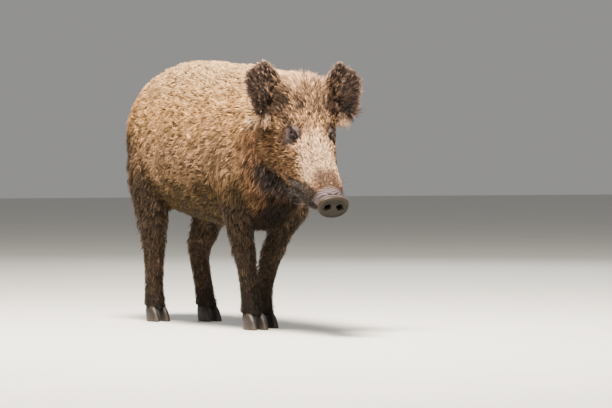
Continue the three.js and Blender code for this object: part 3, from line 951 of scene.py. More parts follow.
@dataclass
class MarkingsAndShade:
    """The colour of the animal at any place, painted shade and shadow included, for its skin and its coat
    alike.
    """

    palette: Palette = field(default_factory=Palette)

    def body(self, points: Array, shares: Array, outward: Array) -> Array:
        """The colours of the trunk, neck, legs and tail.

        Args:
            points: places of the part.
            shares: their shares of the regions.
            outward: the skin's outward direction at each.

        Returns:
            One colour for each place, as linear light.
        """
        paint = self.palette
        x, y, z = points.T
        z = z + 0.018 * ripple(points, 0.16, 11)
        # Darker towards the belly and the bottom of the rump: partly the coat's own colour, partly painted
        # shade on the underside.
        side = paint.ramp(z, [(0.31, "belly"), (0.42, "lower_side"), (0.53, "side"), (0.66, "upper_side"),
                              (0.76, "back")])
        rump = paint.ramp(z, [(0.48, "legs"), (0.585, "rump_low"), (0.71, "rump"), (0.79, "back")])
        tint = blended(side, rump, ease(-0.37, -0.51, x))
        seam = bell(x + 0.277, 0.0, 0.012) * ease(0.40, 0.46, z) * ease(0.64, 0.56, z)
        tint = paint.washed(tint, ("muzzle", 0.30 * seam * ease(0.08, 0.13, np.abs(y))))
        # Darker towards the bottom of the neck, ending in painted shadow under the jaw and chest.
        neck = paint.ramp(z, [(0.32, "dark_hair_and_shadow"), (0.37, "jaw"), (0.45, "neck"), (0.60, "neck"), (0.70, "back")])
        strokes = ease(0.1, 0.8, ripple(points * [1.0, 1.0, 0.6], 0.045, 21))
        neck = paint.washed(neck, ("neck_dark", 0.5 * strokes * ease(0.68, 0.56, z)))
        collar = ease(0.16, 0.30, x - 0.25 * (z - 0.55))
        thighs, shanks = (share_of(shares, region) for region in LIMBS)
        tint = blended(tint, neck, collar * ease(0.74, 0.66, z) * (1.0 - thighs - shanks))
        fore = x > -0.1
        leg = paint.ramp(z, [(0.06, "feet"), (0.16, "legs"), (0.36, "legs")])
        rise = np.where(fore, ease(0.46, 0.34, z), ease(0.55, 0.43, z))
        # Painted shade on the inner sides of the legs, which face the body.
        inner = ease(0.2, -0.5, outward[:, 1] * np.sign(y)) * ease(0.50, 0.42, z)
        leg = leg * np.where(fore, 0.72, 1.0)[:, None]
        tint = blended(tint, leg, (thighs + shanks) * np.maximum(rise, inner))
        # Painted shadow on the chest between the forelegs, over its dark hair.
        front = ease(0.10, 0.18, x) * ease(0.45, 0.40, z) * ease(0.075, 0.030, np.abs(y))
        # Painted shadow of the jaw on the throat, on both sides of the neck.
        patch = ease(0.056, 0.034, np.hypot(x - 0.290, 0.9 * (z - 0.455)))
        pale = ease(1.2, 0.6, np.hypot((x - 0.305) / 0.055, (z - 0.622) / 0.024))
        pale = pale * ease(0.07, 0.10, np.abs(y))
        spot = ease(0.07, 0.02, np.hypot(x - 0.235, z - 0.56))
        tint = paint.washed(tint, ("dark_hair_and_shadow", front * (1.0 - 0.15 * strokes)), ("throat_shadow", 0.92 * patch),
                            ("ear_fringe", 0.75 * pale), ("neck_dark", 0.35 * spot))
        tail = paint.ramp(z, [(0.44, "legs"), (0.54, "rump_low"), (0.66, "rump")])
        return blended(tint, tail, share_of(shares, *WHOLE_TAIL))

    def head(self, points: Array) -> Array:
        """The colours of the head without its ears."""
        paint = self.palette
        measures = HEAD.local(points)
        along, side, above = measures.T
        wide = np.abs(side)
        tint = paint.ramp(along, [(-0.13, "crown"), (-0.07, "forehead"), (0.01, "forehead"), (0.05, "bridge"),
                                  (0.16, "bridge"), (0.21, "muzzle")])
        rays = np.arctan2(side, -(along - 45 * MM))
        streaks = ease(0.0, 0.7, np.sin(rays * 15.0 + 2.0 * ripple(points, 0.05, 31)))
        crown = bell(along, -56 * MM, 30 * MM) * ease(30 * MM, 60 * MM, above)
        dark = bell(along, -76 * MM, 24 * MM) * bell(wide, 70 * MM, 20 * MM) * ease(35 * MM, 60 * MM, above)
        tint = paint.washed(tint, ("streak", (0.50 + 0.50 * streaks) * crown), ("streak", 0.92 * dark))
        low = above + 10 * MM * ripple(points, 0.06, 33)
        face_edge = np.interp(along, [-0.08, -0.01, 0.03, 0.065, 0.093, 0.131, 0.166],
                              [0.055, 0.045, 0.042, 0.037, 0.016, -0.001, -0.016])
        # Darker towards the bottom of the head, ending in painted shadow under the jaw.
        cheek = paint.ramp(low, [(-0.13, "dark_hair_and_shadow"), (-0.095, "jaw"), (-0.05, "cheek"), (0.03, "cheek"),
                                 (0.08, "forehead")])
        ragged = above - face_edge + 7 * MM * ripple(points, 0.028, 34)
        cheek_share = ease(0.012, -0.012, ragged) * ease(0.180, 0.140, along)
        tint = blended(tint, cheek, cheek_share)
        # Painted shadow under the chin.
        chin = ease(-24 * MM, -44 * MM, above) * ease(0.05, 0.16, along)
        lips = bell(MOUTH.offset(measures), 0.0, 9 * MM) * ease(0.07, 0.11, along)
        rising = np.interp(along, [0.12, 0.17, 0.235], [-0.024, 0.006, 0.022])
        lips = np.maximum(lips, ease(8 * MM, -6 * MM, above - rising) * ease(0.105, 0.135, along))
        nose = ease(0.132, 0.172, along) * ease(44 * MM, 25 * MM, wide) * ease(0 * MM, 18 * MM, above)
        bare = ease(0.218, 0.232, along) * ease(-20 * MM, -4 * MM, above)
        tint = paint.washed(tint, ("dark_hair_and_shadow", 0.8 * chin), ("lip", 0.95 * lips), ("nose_top", 0.9 * nose),
                            ("bare", bare))
        for eye in EYES:
            tint = self.round_eye(eye, points, tint)
        return tint

    def round_eye(self, eye: EyePlace, points: Array, tint: Array) -> Array:
        """Colours with the bare skin, brow and lids of one eye worked in.

        Args:
            eye: the eye.
            points: places of the part.
            tint: the colours without it.

        Returns:
            One colour for each place, as linear light.
        """
        paint = self.palette
        away = points - eye.centre()
        ahead, up = away @ eye.ahead(), away @ eye.up()
        distance, angle, turn = eye.polar(points)
        here = ease(70 * MM, 50 * MM, distance)
        waves = np.sin(distance / (1.3 * MM) + 2.5 * ripple(points, 0.02, 41))
        creased = paint.light("eye_skin") * (1.0 - 0.30 * ease(0.2, 0.9, waves))[:, None]
        near = eye.oval(points, 5, -10, 31, 32)
        tint = blended(tint, creased, 0.92 * here * ease(1.15, 0.82, near))
        brow = bell(np.hypot(ahead / 1.4, up - 2 * MM), 21 * MM, 5 * MM) * ease(2 * MM, 10 * MM, up)
        rim = ease(math.radians(46), math.radians(26), angle - eye.slit(turn))
        close = ease(34 * MM, 22 * MM, distance)
        return paint.washed(tint, ("lid", 0.4 * here * brow), ("lid", 0.97 * close * rim))

    def ear(self, ear: Ear, points: Array, outward: Array) -> Array:
        """The colours of one ear, front and back."""
        paint = self.palette
        measures = ear.local(points)
        share = ear.share_across(measures)
        level = measures[:, 1] / ear.length
        inside = ease(-0.2, 0.35, outward @ ear.axes()[2])
        streaks = ease(0.1, 0.9, ripple(points * [1.0, 1.0, 0.5], 0.012, 51)) * ease(0.05, 0.35, level)
        rim = np.maximum(ease(0.12, 0.02, share), ease(0.86, 0.96, share))
        rim = np.maximum(rim, ease(0.80, 0.95, level))
        fringe = ease(0.50, 0.80, share) * ease(0.02, -0.14, level)
        tint = np.tile(paint.light("ear_back"), (len(points), 1))
        return paint.washed(tint, ("ear_edge", 0.5 * ease(0.5, 1.0, level)), ("ear_inside", inside),
                            ("ear_edge", 0.30 * streaks * inside), ("ear_edge", 0.65 * rim),
                            ("ear_fringe", fringe))

    def at(self, points: Array, shares: Array, outward: Array) -> Array:
        """The colour at places of the skin.

        Args:
            points: places of the part.
            shares: their shares of the regions.
            outward: the skin's outward direction at each.

        Returns:
            One colour for each place, as linear light.
        """
        head = share_of(shares, *HEAD_AND_JAW)
        ears = share_of(shares, Region.EARS)
        tint = blended(self.body(points, shares, outward), self.head(points), head + ears)
        for ear in EARS:
            away = np.linalg.norm(points - ear.root(), axis=1)
            tint = self.palette.washed(tint, ("streak", 0.85 * head * ease(62 * MM, 36 * MM, away)))
            tint = blended(tint, self.ear(ear, points, outward), ease(0.06, 0.30, ears) * ear.beside(points))
        return np.clip(tint, 0.0, 1.0)


# ------------------------------------------------------------------ coat


@dataclass(frozen=True)
class HairStyle:
    """How the coat of a region grows: sizes in metres, density in tufts for each square metre."""

    length: float
    width: float
    height: float
    density: float
    curl: float
    spread: float


STYLES = {
    Region.TRUNK: HairStyle(32 * MM, 2.1 * MM, 12 * MM, 56_000, 0.09, 0.40),
    Region.NECK: HairStyle(35 * MM, 1.9 * MM, 14 * MM, 68_000, 0.07, 0.36),
    Region.HEAD: HairStyle(20 * MM, 1.15 * MM, 7 * MM, 230_000, 0.05, 0.30),
    Region.JAW: HairStyle(30 * MM, 1.4 * MM, 11 * MM, 125_000, 0.08, 0.35),
    Region.EARS: HairStyle(17 * MM, 1.2 * MM, 5 * MM, 230_000, 0.06, 0.3),
    Region.THIGHS: HairStyle(26 * MM, 1.9 * MM, 9 * MM, 56_000, 0.07, 0.34),
    Region.SHANKS: HairStyle(16 * MM, 1.5 * MM, 4.5 * MM, 76_000, 0.04, 0.26),
    Region.TAIL: HairStyle(16 * MM, 1.6 * MM, 5 * MM, 90_000, 0.04, 0.3),
    Region.BRUSH: HairStyle(46 * MM, 1.6 * MM, 7 * MM, 130_000, 0.08, 0.3),
}


@dataclass
class Roots:
    """Where tufts grow, and what the skin says about the coat there."""

    points: Array
    outward: Array
    shares: Array
    tint: Array
    lie: Array
    length: Array
    width: Array
    height: Array
    curl: Array
    spread: Array
    # dark: how dark each root is, with painted shade between the tufts.
    dark: Array

    def take(self, chosen: Array) -> "Roots":
        """Some of the roots, by a mask or by their numbers."""
        return Roots(*(getattr(self, name)[chosen] for name in self.__dataclass_fields__))


@dataclass
class Lie:
    """Which way the coat lies and how it grows, over the whole skin."""

    skin: Surface
    shares: Array
    outward: Array

    def direction(self) -> Array:
        """The way the coat lies at each point of the skin, along its surface."""
        points, outward, shares = self.skin.points, self.outward, self.shares
        x, y, z = points.T
        flat = np.abs(outward[:, 2])
        way = np.column_stack([-np.ones_like(x), 0.25 * outward[:, 1], -0.10 - 0.30 * (1.0 - flat)])
        drop = np.column_stack([-0.75 * np.ones_like(x), 0.2 * np.sign(y) * (1 - flat), -0.75 * (1.0 - flat)])
        thighs, shanks = (share_of(shares, region) for region in LIMBS)
        turns = [
            (np.array([-0.25, 0.0, -1.0]), ease(-0.45, -0.58, x)),
            (drop, ease(0.10, 0.24, x) * ease(0.70, 0.58, z)),
            (np.array([-0.25, 0.0, -1.0]), ease(0.26, 0.36, x) * ease(0.46, 0.38, z)),
            (np.array([-0.30, 0.0, -1.0]), thighs * ease(0.56, 0.42, z)),
            (np.array([-0.14, 0.0, -1.0]), shanks),
            (np.array([0.0, 0.0, -1.0]), np.clip(share_of(shares, *WHOLE_TAIL), 0.0, 1.0)),
            (self.on_head(points), share_of(shares, *HEAD_AND_JAW)),
        ]
        for ear in EARS:
            here = share_of(shares, Region.EARS) * ear.beside(points)
            turns.append((self.on_ear(ear, points), np.clip(2.0 * here, 0.0, 1.0)))
        for onto, share in turns:
            way = blended(way, onto, share)
        way = unit(way)
        aside = unit(np.cross(outward, way))
        swirl = 0.30 * ripple(points, 0.13, 41) + 0.16 * ripple(points, 0.05, 42)
        swirl *= 1.0 - 0.65 * share_of(shares, *HEAD_AND_JAW, Region.EARS, Region.SHANKS)
        way = way + aside * swirl[:, None]
        way = way - outward * (way * outward).sum(axis=1, keepdims=True)
        return unit(self.skin.smoothed(unit(way), 3))

    def on_head(self, points: Array) -> Array:
        """The way the coat lies on the head, before it is laid on the skin."""
        along, side, above = HEAD.local(points).T
        left = np.sign(side)
        top = np.column_stack([-np.ones_like(side), side * 7.0, 0 * side])
        brow = ease(20 * MM, -70 * MM, along) * ease(95 * MM, 20 * MM, np.abs(side))
        top[:, 1] += 5.0 * side * brow
        cheek = np.column_stack([-0.80 * np.ones_like(side), 0.15 * left, -0.75 * np.ones_like(side)])
        low = ease(35 * MM, -5 * MM, above) * ease(0.20, 0.12, along)
        measures = blended(top, cheek, low)
        jaw = np.column_stack([-0.9 * np.ones_like(side), 0.1 * left, -0.6 * np.ones_like(side)])
        measures = blended(measures, jaw, ease(-45 * MM, -75 * MM, above))
        way = HEAD.way(measures)
        for eye in EYES:
            near = bell(eye.distance(points), 0.0, 24 * MM)
            way = blended(way, unit(points - eye.centre()) * 1.2 + way * 0.3, near)
        return way

    def on_ear(self, ear: Ear, points: Array) -> Array:
        """The way the coat lies on an ear: to the tip, and out over both edges."""
        across, tall, _ = ear.axes()
        measures = ear.local(points)
        share = ear.share_across(measures)
        rise = -0.5 + 1.5 * ease(-0.08, 0.35, measures[:, 1] / ear.length)
        return rise[:, None] * tall + 1.5 * (share - 0.42)[:, None] * across

    def roots(self, total: int, markings: MarkingsAndShade, seed: int = 7) -> Roots:
        """Places for tufts, spread over the skin by the coat's density.

        Args:
            total: how many tufts grow in all.
            markings: gives the colour at each.
            seed: of the random draws.

        Returns:
            The roots with what the skin says about the coat at each.
        """
        styles = [STYLES[region] for region in REGIONS]
        table = np.array([[s.length, s.width, s.height, s.density, s.curl, s.spread] for s in styles])
        length, width, height, density, curl, spread = (self.shares @ table).T
        length, height, density = self.adjusted(length, height, density)
        lie = self.direction()
        faces = self.skin.faces
        corners = self.skin.points[faces]
        area = np.linalg.norm(np.cross(corners[:, 1] - corners[:, 0], corners[:, 2] - corners[:, 0]), axis=1)
        heavy = np.cumsum(area * density[faces].mean(axis=1))
        rng = np.random.default_rng(seed)
        marks = (np.arange(total) + rng.uniform(0.0, 1.0, total)) / total * heavy[-1]
        face = np.minimum(np.searchsorted(heavy, marks), len(faces) - 1)
        first, second = rng.uniform(0.0, 1.0, (2, total))
        first, second = np.where(first + second > 1.0, [1.0 - first, 1.0 - second], [first, second])
        mix = np.stack([1.0 - first - second, first, second], axis=-1)

        def here(values: Array) -> Array:
            """Values of the skin's points carried to the roots."""
            return np.einsum("nk,nk...->n...", mix, values[faces[face]])

        points = here(self.skin.points)
        outward = unit(here(self.outward))
        shares = here(self.shares)
        way = here(lie)
        way = unit(way - outward * (way * outward).sum(axis=1, keepdims=True))
        mixed = points + rng.normal(size=points.shape) * (0.16 * here(length))[:, None]
        tint = markings.at(mixed, shares, outward)
        # Darker roots for longer hair: the hair's own dark base with painted shade between the tufts.
        dark = np.interp(length, [6 * MM, 16 * MM, 32 * MM], [0.44, 0.28, 0.16])
        sizes = (here(value) for value in (length, width, height, curl, spread, dark))
        return Roots(points, outward, shares, tint, way, *sizes)

    def adjusted(self, length: Array, height: Array, density: Array) -> tuple[Array, Array, Array]:
        """The coat's sizes with the bare places and the fringes worked in.

        Args:
            length: of the tufts, for each point of the skin.
            height: how far they stand off.
            density: in tufts for each square metre.

        Returns:
            Length, height and density for each point of the skin.
        """
        points, z = self.skin.points, self.skin.points[:, 2]
        measures = HEAD.local(points)
        along, side, above = measures.T
        head = share_of(self.shares, *HEAD_AND_JAW)
        ears = share_of(self.shares, Region.EARS)
        thighs, shanks = (share_of(self.shares, region) for region in LIMBS)
        muzzle = ease(0.02, 0.19, along) * head
        crown = ease(-30 * MM, -100 * MM, along) * ease(20 * MM, 60 * MM, above) * head
        cheeks = ease(55 * MM, 80 * MM, np.abs(side)) * ease(20 * MM, -40 * MM, above)
        cheeks = cheeks * ease(0.08, -0.03, along) * head
        rear = ease(-0.1, -0.8, self.outward[:, 0]) * (thighs + shanks) * ease(0.07, 0.14, z)
        feet = ease(0.16, 0.07, z) * shanks
        belly = ease(-0.2, -0.8, self.outward[:, 2]) * share_of(self.shares, Region.TRUNK)
        growth = (
            (muzzle, -0.66, -0.70), (crown, 0.7, 0.0), (head * ease(0.0, 0.15, ears), -0.5, 0.0),
            (cheeks, 1.0, 0.7), (rear, 0.6, 0.9), (feet, -0.35, 0.0), (belly, 0.25, 0.0),
        )
        for share, longer, higher in growth:
            length = length * (1.0 + longer * share)
            height = height * (1.0 + higher * share)
        density = density * (1.0 + 0.5 * muzzle)
        bare = ease(0.214, 0.224, along) * ease(-22 * MM, -8 * MM, above)
        bare = np.maximum(bare, ease(0.236, 0.244, along))
        bare = np.maximum(bare, 0.9 * bell(MOUTH.offset(measures), 0.0, 4 * MM) * ease(0.08, 0.11, along))
        for eye in EYES:
            distance = eye.distance(points)
            below = ease(1.08, 0.80, eye.oval(points, 1, -12, 27, 31))
            below = below * ease(70 * MM, 50 * MM, distance)
            bare = np.maximum(bare, np.maximum(ease(21 * MM, 14 * MM, distance), 0.80 * below))
            for short in (1.0 - 0.45 * below, 1.0 - 0.45 * bell(distance, 0.0, 30 * MM)):
                length, height = length * short, height * short
        for ear in EARS:
            own = ear.local(points)
            canal = own - np.array([14 * MM, 6 * MM, 0.0])
            bare = np.maximum(bare, 0.7 * bell(np.linalg.norm(canal, axis=1), 0.0, 9 * MM))
            here = ears * ear.beside(points)
            share, level = ear.share_across(own), own[:, 1] / ear.length
            edge = ease(0.80, 0.97, share) * ease(0.95, 0.80, level)
            low = ease(0.55, 0.90, share) * ease(0.35, 0.05, level)
            peak = 0.45 * here * ease(0.78, 0.98, level)
            length = length * (1.0 + here * (0.25 * edge + 0.8 * low)) * (1.0 - peak)
            height = height * (1.0 + here * 0.3 * edge) * (1.0 - peak)
        return length, height, density * (1.0 - bare)


@dataclass(frozen=True)
class Chart:
    """How the roots of a coat piece are laid out on a flat sheet, from 0 to 1 each way."""

    margin: float = 0.01

    def fitted(self, flat: Array) -> Array:
        """A layout stretched to fill the sheet."""
        low, high = flat.min(axis=0), flat.max(axis=0)
        return self.margin + (1.0 - 2.0 * self.margin) * (flat - low) / np.maximum(high - low, 1e-6)

    def plan(self, roots: Roots, first: int, second: int) -> Array:
        """A layout that looks along one axis of the part."""
        return self.fitted(roots.points[:, [first, second]])

    def rolled(self, points: Array) -> Array:
        """A layout of an upright limb, by the turn round its middle and the height."""
        levels, mine = np.unique(np.round(points[:, 2], 2), return_inverse=True)
        middles = np.array([points[mine == number, :2].mean(axis=0) for number in range(len(levels))])
        away = points[:, :2] - middles[mine]
        return self.fitted(np.column_stack([np.arctan2(away[:, 1], away[:, 0]), points[:, 2]]))

    def round_head(self, roots: Roots) -> Array:
        """A layout round the muzzle's axis."""
        along, side, above = HEAD.local(roots.points).T
        return self.fitted(np.column_stack([np.arctan2(above, np.abs(side)), along]))

    def beside(self, parts: list[tuple[Array, Array]], count: int) -> Array:
        """Several layouts side by side on one sheet.

        Args:
            parts: pairs of a mask and the layout of the roots in it.
            count: how many roots there are in all.

        Returns:
            The layout of all the roots.
        """
        flat = np.zeros((count, 2))
        for number, (mask, layout) in enumerate(parts):
            flat[mask] = (layout + [number, 0.0]) / [len(parts), 1.0]
        return flat


@dataclass(frozen=True)
class TuftShape:
    """The form of a tuft, in shares of its own length, height and width where nothing else is said.

    A tuft is a flat wedge of seven points: three at the root, three at the middle and the tip.
    """

    sunk: float = 1.2 * MM
    middle_at: float = 0.46
    middle_high: float = 0.78
    tip_at: float = 0.94
    ridge: float = 0.34
    narrowing: float = 0.95
    drawn_from: float = 12 * MM
    middle_drawn: float = 0.14
    tip_drawn: float = 0.34
    strand: tuple[float, ...] = (0.0, 0.0, 0.0, 0.55, 0.55, 0.6, 1.0)
    on_patch: tuple[tuple[float, float], ...] = (
        (-0.5, -0.5), (0.5, -0.5), (0.0, -0.5), (-0.5, 0.1), (0.5, 0.1), (0.0, 0.15), (0.0, 0.5),
    )
    triangles: tuple[tuple[int, int, int], ...] = (
        (0, 2, 1), (0, 1, 4), (0, 4, 3), (1, 2, 5), (1, 5, 4), (2, 0, 3), (2, 3, 5),
        (3, 4, 6), (4, 5, 6), (5, 3, 6),
    )


@dataclass
class Coat:
    """The coat of mesh tufts, in pieces that go with the regions of the body."""

    total: int = 146_000
    clump: int = 5
    strays: float = 0.12
    lightest: float = 0.86
    patch: float = 0.003
    shape: TuftShape = field(default_factory=TuftShape)
    chart: Chart = field(default_factory=Chart)

    def tufts(self, roots: Roots, rng: np.random.Generator) -> tuple[Array, Array]:
        """The tufts' points, as tuft by point by coordinate, and how light each tuft is.

        Args:
            roots: where they grow.
            rng: source of the random draws.

        Returns:
            Seven points for each tuft, from its root to its tip, and one number for each.
        """
        count, shape = len(roots.points), self.shape
        leaders = rng.choice(count, max(1, int(count / self.clump)), replace=False)
        tree = KDTree(len(leaders))
        for number, leader in enumerate(leaders):
            tree.insert(Vector(roots.points[leader]), number)
        tree.balance()
        mine = leaders[[tree.find(Vector(point))[1] for point in roots.points]]
        whim = rng.normal(size=(count, 6))
        whim = np.where(rng.uniform(size=(count, 1)) < self.strays, whim * 1.6, whim)
        turn = roots.spread * (0.55 * whim[mine, 0] + 0.50 * whim[:, 1])
        aside = np.cross(roots.outward, roots.lie)
        way = roots.lie * np.cos(turn)[:, None] + aside * np.sin(turn)[:, None]
        aside = np.cross(roots.outward, way)
        length = roots.length * np.clip(1.0 + 0.16 * whim[mine, 2] + 0.14 * whim[:, 2], 0.55, 1.5)
        rise = roots.height * np.clip(0.72 + 0.20 * whim[mine, 3] + 0.16 * whim[:, 3], 0.18, 1.25)
        wave = roots.curl * length * (0.8 * np.sign(whim[mine, 4]) + 0.35 * whim[:, 4])
        gather = roots.points[mine] - roots.points
        near = np.linalg.norm(gather, axis=1, keepdims=True)
        gather = gather * np.clip(shape.drawn_from / np.maximum(near, 1e-6), 0.0, 1.0)
        gather -= roots.outward * (gather * roots.outward).sum(axis=1, keepdims=True)
        base = roots.points - roots.outward * shape.sunk
        middle = roots.points + way * (shape.middle_at * length)[:, None]
        middle += roots.outward * (shape.middle_high * rise)[:, None]
        middle += aside * wave[:, None] + gather * shape.middle_drawn
        tip = roots.points + way * (shape.tip_at * length)[:, None] + roots.outward * rise[:, None]
        tip += gather * shape.tip_drawn - aside * 0.5 * wave[:, None]
        wide = roots.width * np.clip(1.0 + 0.25 * whim[:, 5], 0.5, 1.6)
        left = aside * (0.5 * wide)[:, None]
        up = roots.outward * (shape.ridge * wide)[:, None]
        points = [base + left, base - left, base + way * 0.5 * wide[:, None]]
        points += [middle + left * shape.narrowing, middle - left * shape.narrowing, middle + up, tip]
        lightness = 0.34 * whim[mine, 1] + 0.22 * whim[:, 5]
        return np.stack(points, axis=1), self.glow(roots, lightness, mine, rng)

    def glow(self, roots: Roots, lightness: Array, mine: Array, rng: np.random.Generator) -> Array:
        """How light each tuft is, with some clumps and some single tufts much darker.

        Args:
            roots: where the tufts grow.
            lightness: how light each would be in an even coat.
            mine: the number of each tuft's leader.
            rng: source of the random draws.

        Returns:
            The natural logarithm of the factor on each tuft's colour.
        """
        head = share_of(roots.shares, *HEAD_AND_JAW)
        crown = head * bell(HEAD.local(roots.points)[:, 0], -64 * MM, 30 * MM)
        high = share_of(roots.shares, Region.TRUNK) * ease(0.60, 0.76, roots.points[:, 2])
        glow = lightness * (1.0 + 0.6 * share_of(roots.shares, Region.EARS) + 0.5 * crown)
        dark_clumps = 0.14 + 0.10 * head + 0.20 * crown + 0.10 * high
        glow = np.where(rng.uniform(size=len(glow))[mine] < dark_clumps, glow - 0.85, glow)
        dark_tufts = 0.10 + 0.22 * head + 0.12 * high
        return np.where(rng.uniform(size=len(glow)) < dark_tufts, glow - 0.8 - 0.3 * head, glow)

    def sheet(self, name: str, roots: Roots) -> Array:
        """Where the roots of a piece lie on its own sheet."""
        points = roots.points
        if name.startswith(("flank", "neck")):
            return self.chart.plan(roots, 0, 2)
        if name in ("back", "belly"):
            return self.chart.plan(roots, 0, 1)
        if name.startswith(("face", "jaw")):
            return self.chart.round_head(roots)
        if name == "ears":
            left = HEAD.local(points)[:, 1] > 0
            flat = np.zeros((len(points), 2))
            front = np.zeros(len(points), bool)
            for ear, mask in zip(EARS, (left, ~left)):
                measures = ear.local(points[mask])
                flat[mask] = self.chart.fitted(measures[:, :2])
                front[mask] = roots.outward[mask] @ ear.axes()[2] > 0
            masks = [left & front, left & ~front, ~left & front, ~left & ~front]
            return self.chart.beside([(mask, flat[mask]) for mask in masks], len(points))
        return self.chart.rolled(points)

    def names(self, roots: Roots) -> Array:
        """The name of the coat piece that each root belongs to."""
        x, y, _ = roots.points.T
        region = roots.shares.argmax(axis=1)
        up = roots.outward[:, 2]
        side = np.where(y > 0, "left", "right")
        trunk = np.where(up > 0.55, "back", np.where(up < -0.55, "belly", np.char.add("flank_", side)))
        neck = np.char.add("neck_", side)
        cheek = np.where(HEAD.local(roots.points)[:, 1] > 0, "left", "right")
        ends = np.char.add(np.where(x > -0.1, "foreleg_", "hindleg_"), side)
        table = [trunk, neck, np.char.add("face_", cheek), np.char.add("jaw_", cheek)]
        table += [np.full(len(x), "ears"), ends, ends]
        table += [np.full(len(x), "tail")] * 2
        return np.choose(region, table)

    def build(self, roots: Roots, finish: bpy.types.Material) -> list[bpy.types.Object]:
        """The pieces of the coat.

        Args:
            roots: where all its tufts grow.
            finish: the coat's material.

        Returns:
            One object for each piece, with colours, strand shares and an OFBake map.
        """
        rng = np.random.default_rng(19)
        names = self.names(roots)
        tufts, glow = self.tufts(roots, rng)
        strand, places = np.array(self.shape.strand), np.array(self.shape.on_patch)
        corners, faces = len(strand), np.array(self.shape.triangles)
        pieces = []
        for name in sorted(set(names)):
            chosen = np.flatnonzero(names == name)
            count = len(chosen)
            LOG.info("coat_%s: %d tufts, %d triangles", name, count, len(faces) * count)
            sheets = self.sheet(name, roots.take(chosen))
            piece = Patchwork()
            triangles = (faces[None] + corners * np.arange(count)[:, None, None]).reshape(-1, 3)
            tint = roots.tint[chosen] * np.exp(glow[chosen])[:, None]
            tint *= np.minimum(1.0, self.lightest / tint.max(axis=1, keepdims=True))
            # root: the darkness at the roots, painted shade between the tufts included.
            piece.add(tufts[chosen].reshape(-1, 3), triangles, tint=np.repeat(tint, corners, axis=0),
                      strand=np.tile(strand, count), root=np.repeat(roots.dark[chosen], corners))
            made = piece.make(f"coat_{name}", finish)
            flat = (sheets[:, None, :] + places[None] * self.patch).reshape(-1, 2)
            layer = made.data.uv_layers.new(name="OFBake")
            layer.data.foreach_set("uv", flat[triangles.ravel()].astype(np.float32).ravel())
            pieces.append(made)
        return pieces


# ------------------------------------------------------------------ materials


class Term:
    """A number or colour in a node tree, which can be worked with like a plain number."""

    def __init__(self, tree: bpy.types.NodeTree, socket: bpy.types.NodeSocket) -> None:
        """Holds an output socket of a tree."""
        self.tree = tree
        self.socket = socket

    def maths(self, operation: str, *values: "Term | float") -> "Term":
        """A Math node with its inputs in order."""
        return added(self.tree, "ShaderNodeMath", 0, {"operation": operation}, *values)

    def __add__(self, other: "Term | float") -> "Term":
        """Sum."""
        return self.maths("ADD", self, other)

    def __rsub__(self, other: float) -> "Term":
        """Difference, with the number first."""
        return self.maths("SUBTRACT", other, self)

    def __mul__(self, other: "Term | float") -> "Term":
        """Product."""
        return self.maths("MULTIPLY", self, other)

    def __rmul__(self, other: float) -> "Term":
        """Product, with the number first."""
        return self.maths("MULTIPLY", other, self)

    def ramped(self, low: float, high: float, start: float = 0.0, end: float = 1.0) -> "Term":
        """The value mapped from low..high to start..end with soft ends."""
        settings = {"interpolation_type": "SMOOTHSTEP"}
        return added(self.tree, "ShaderNodeMapRange", 0, settings, self, low, high, start, end)


def plug(tree: bpy.types.NodeTree, socket: bpy.types.NodeSocket, value: object) -> None:
    """Gives a socket a value, or links another's output to it."""
    if isinstance(value, Term):
        tree.links.new(value.socket, socket)
    elif isinstance(value, (tuple, list, np.ndarray)):
        size = len(socket.default_value)
        socket.default_value = (*map(float, value), 1.0)[:size]
    else:
        socket.default_value = value


def added(tree: bpy.types.NodeTree, kind: str, output: str | int = 0, settings: dict | None = None,
          *ordered: object, **values: object) -> Term:
    """A new node.

    Args:
        tree: where it is added.
        kind: the node's type.
        output: which output is wanted.
        settings: the node's own properties, set first.
        ordered: what its first inputs get, with None for one that is left as it is.
        values: what other inputs get, by name with underscores for blanks.

    Returns:
        The wanted output.
    """
    node = tree.nodes.new(kind)
    for name, value in (settings or {}).items():
        setattr(node, name, value)
    for socket, value in zip(node.inputs, ordered):
        if value is not None:
            plug(tree, socket, value)
    for name, value in values.items():
        plug(tree, node.inputs[name.replace("_", " ")], value)
    return Term(tree, node.outputs[output])


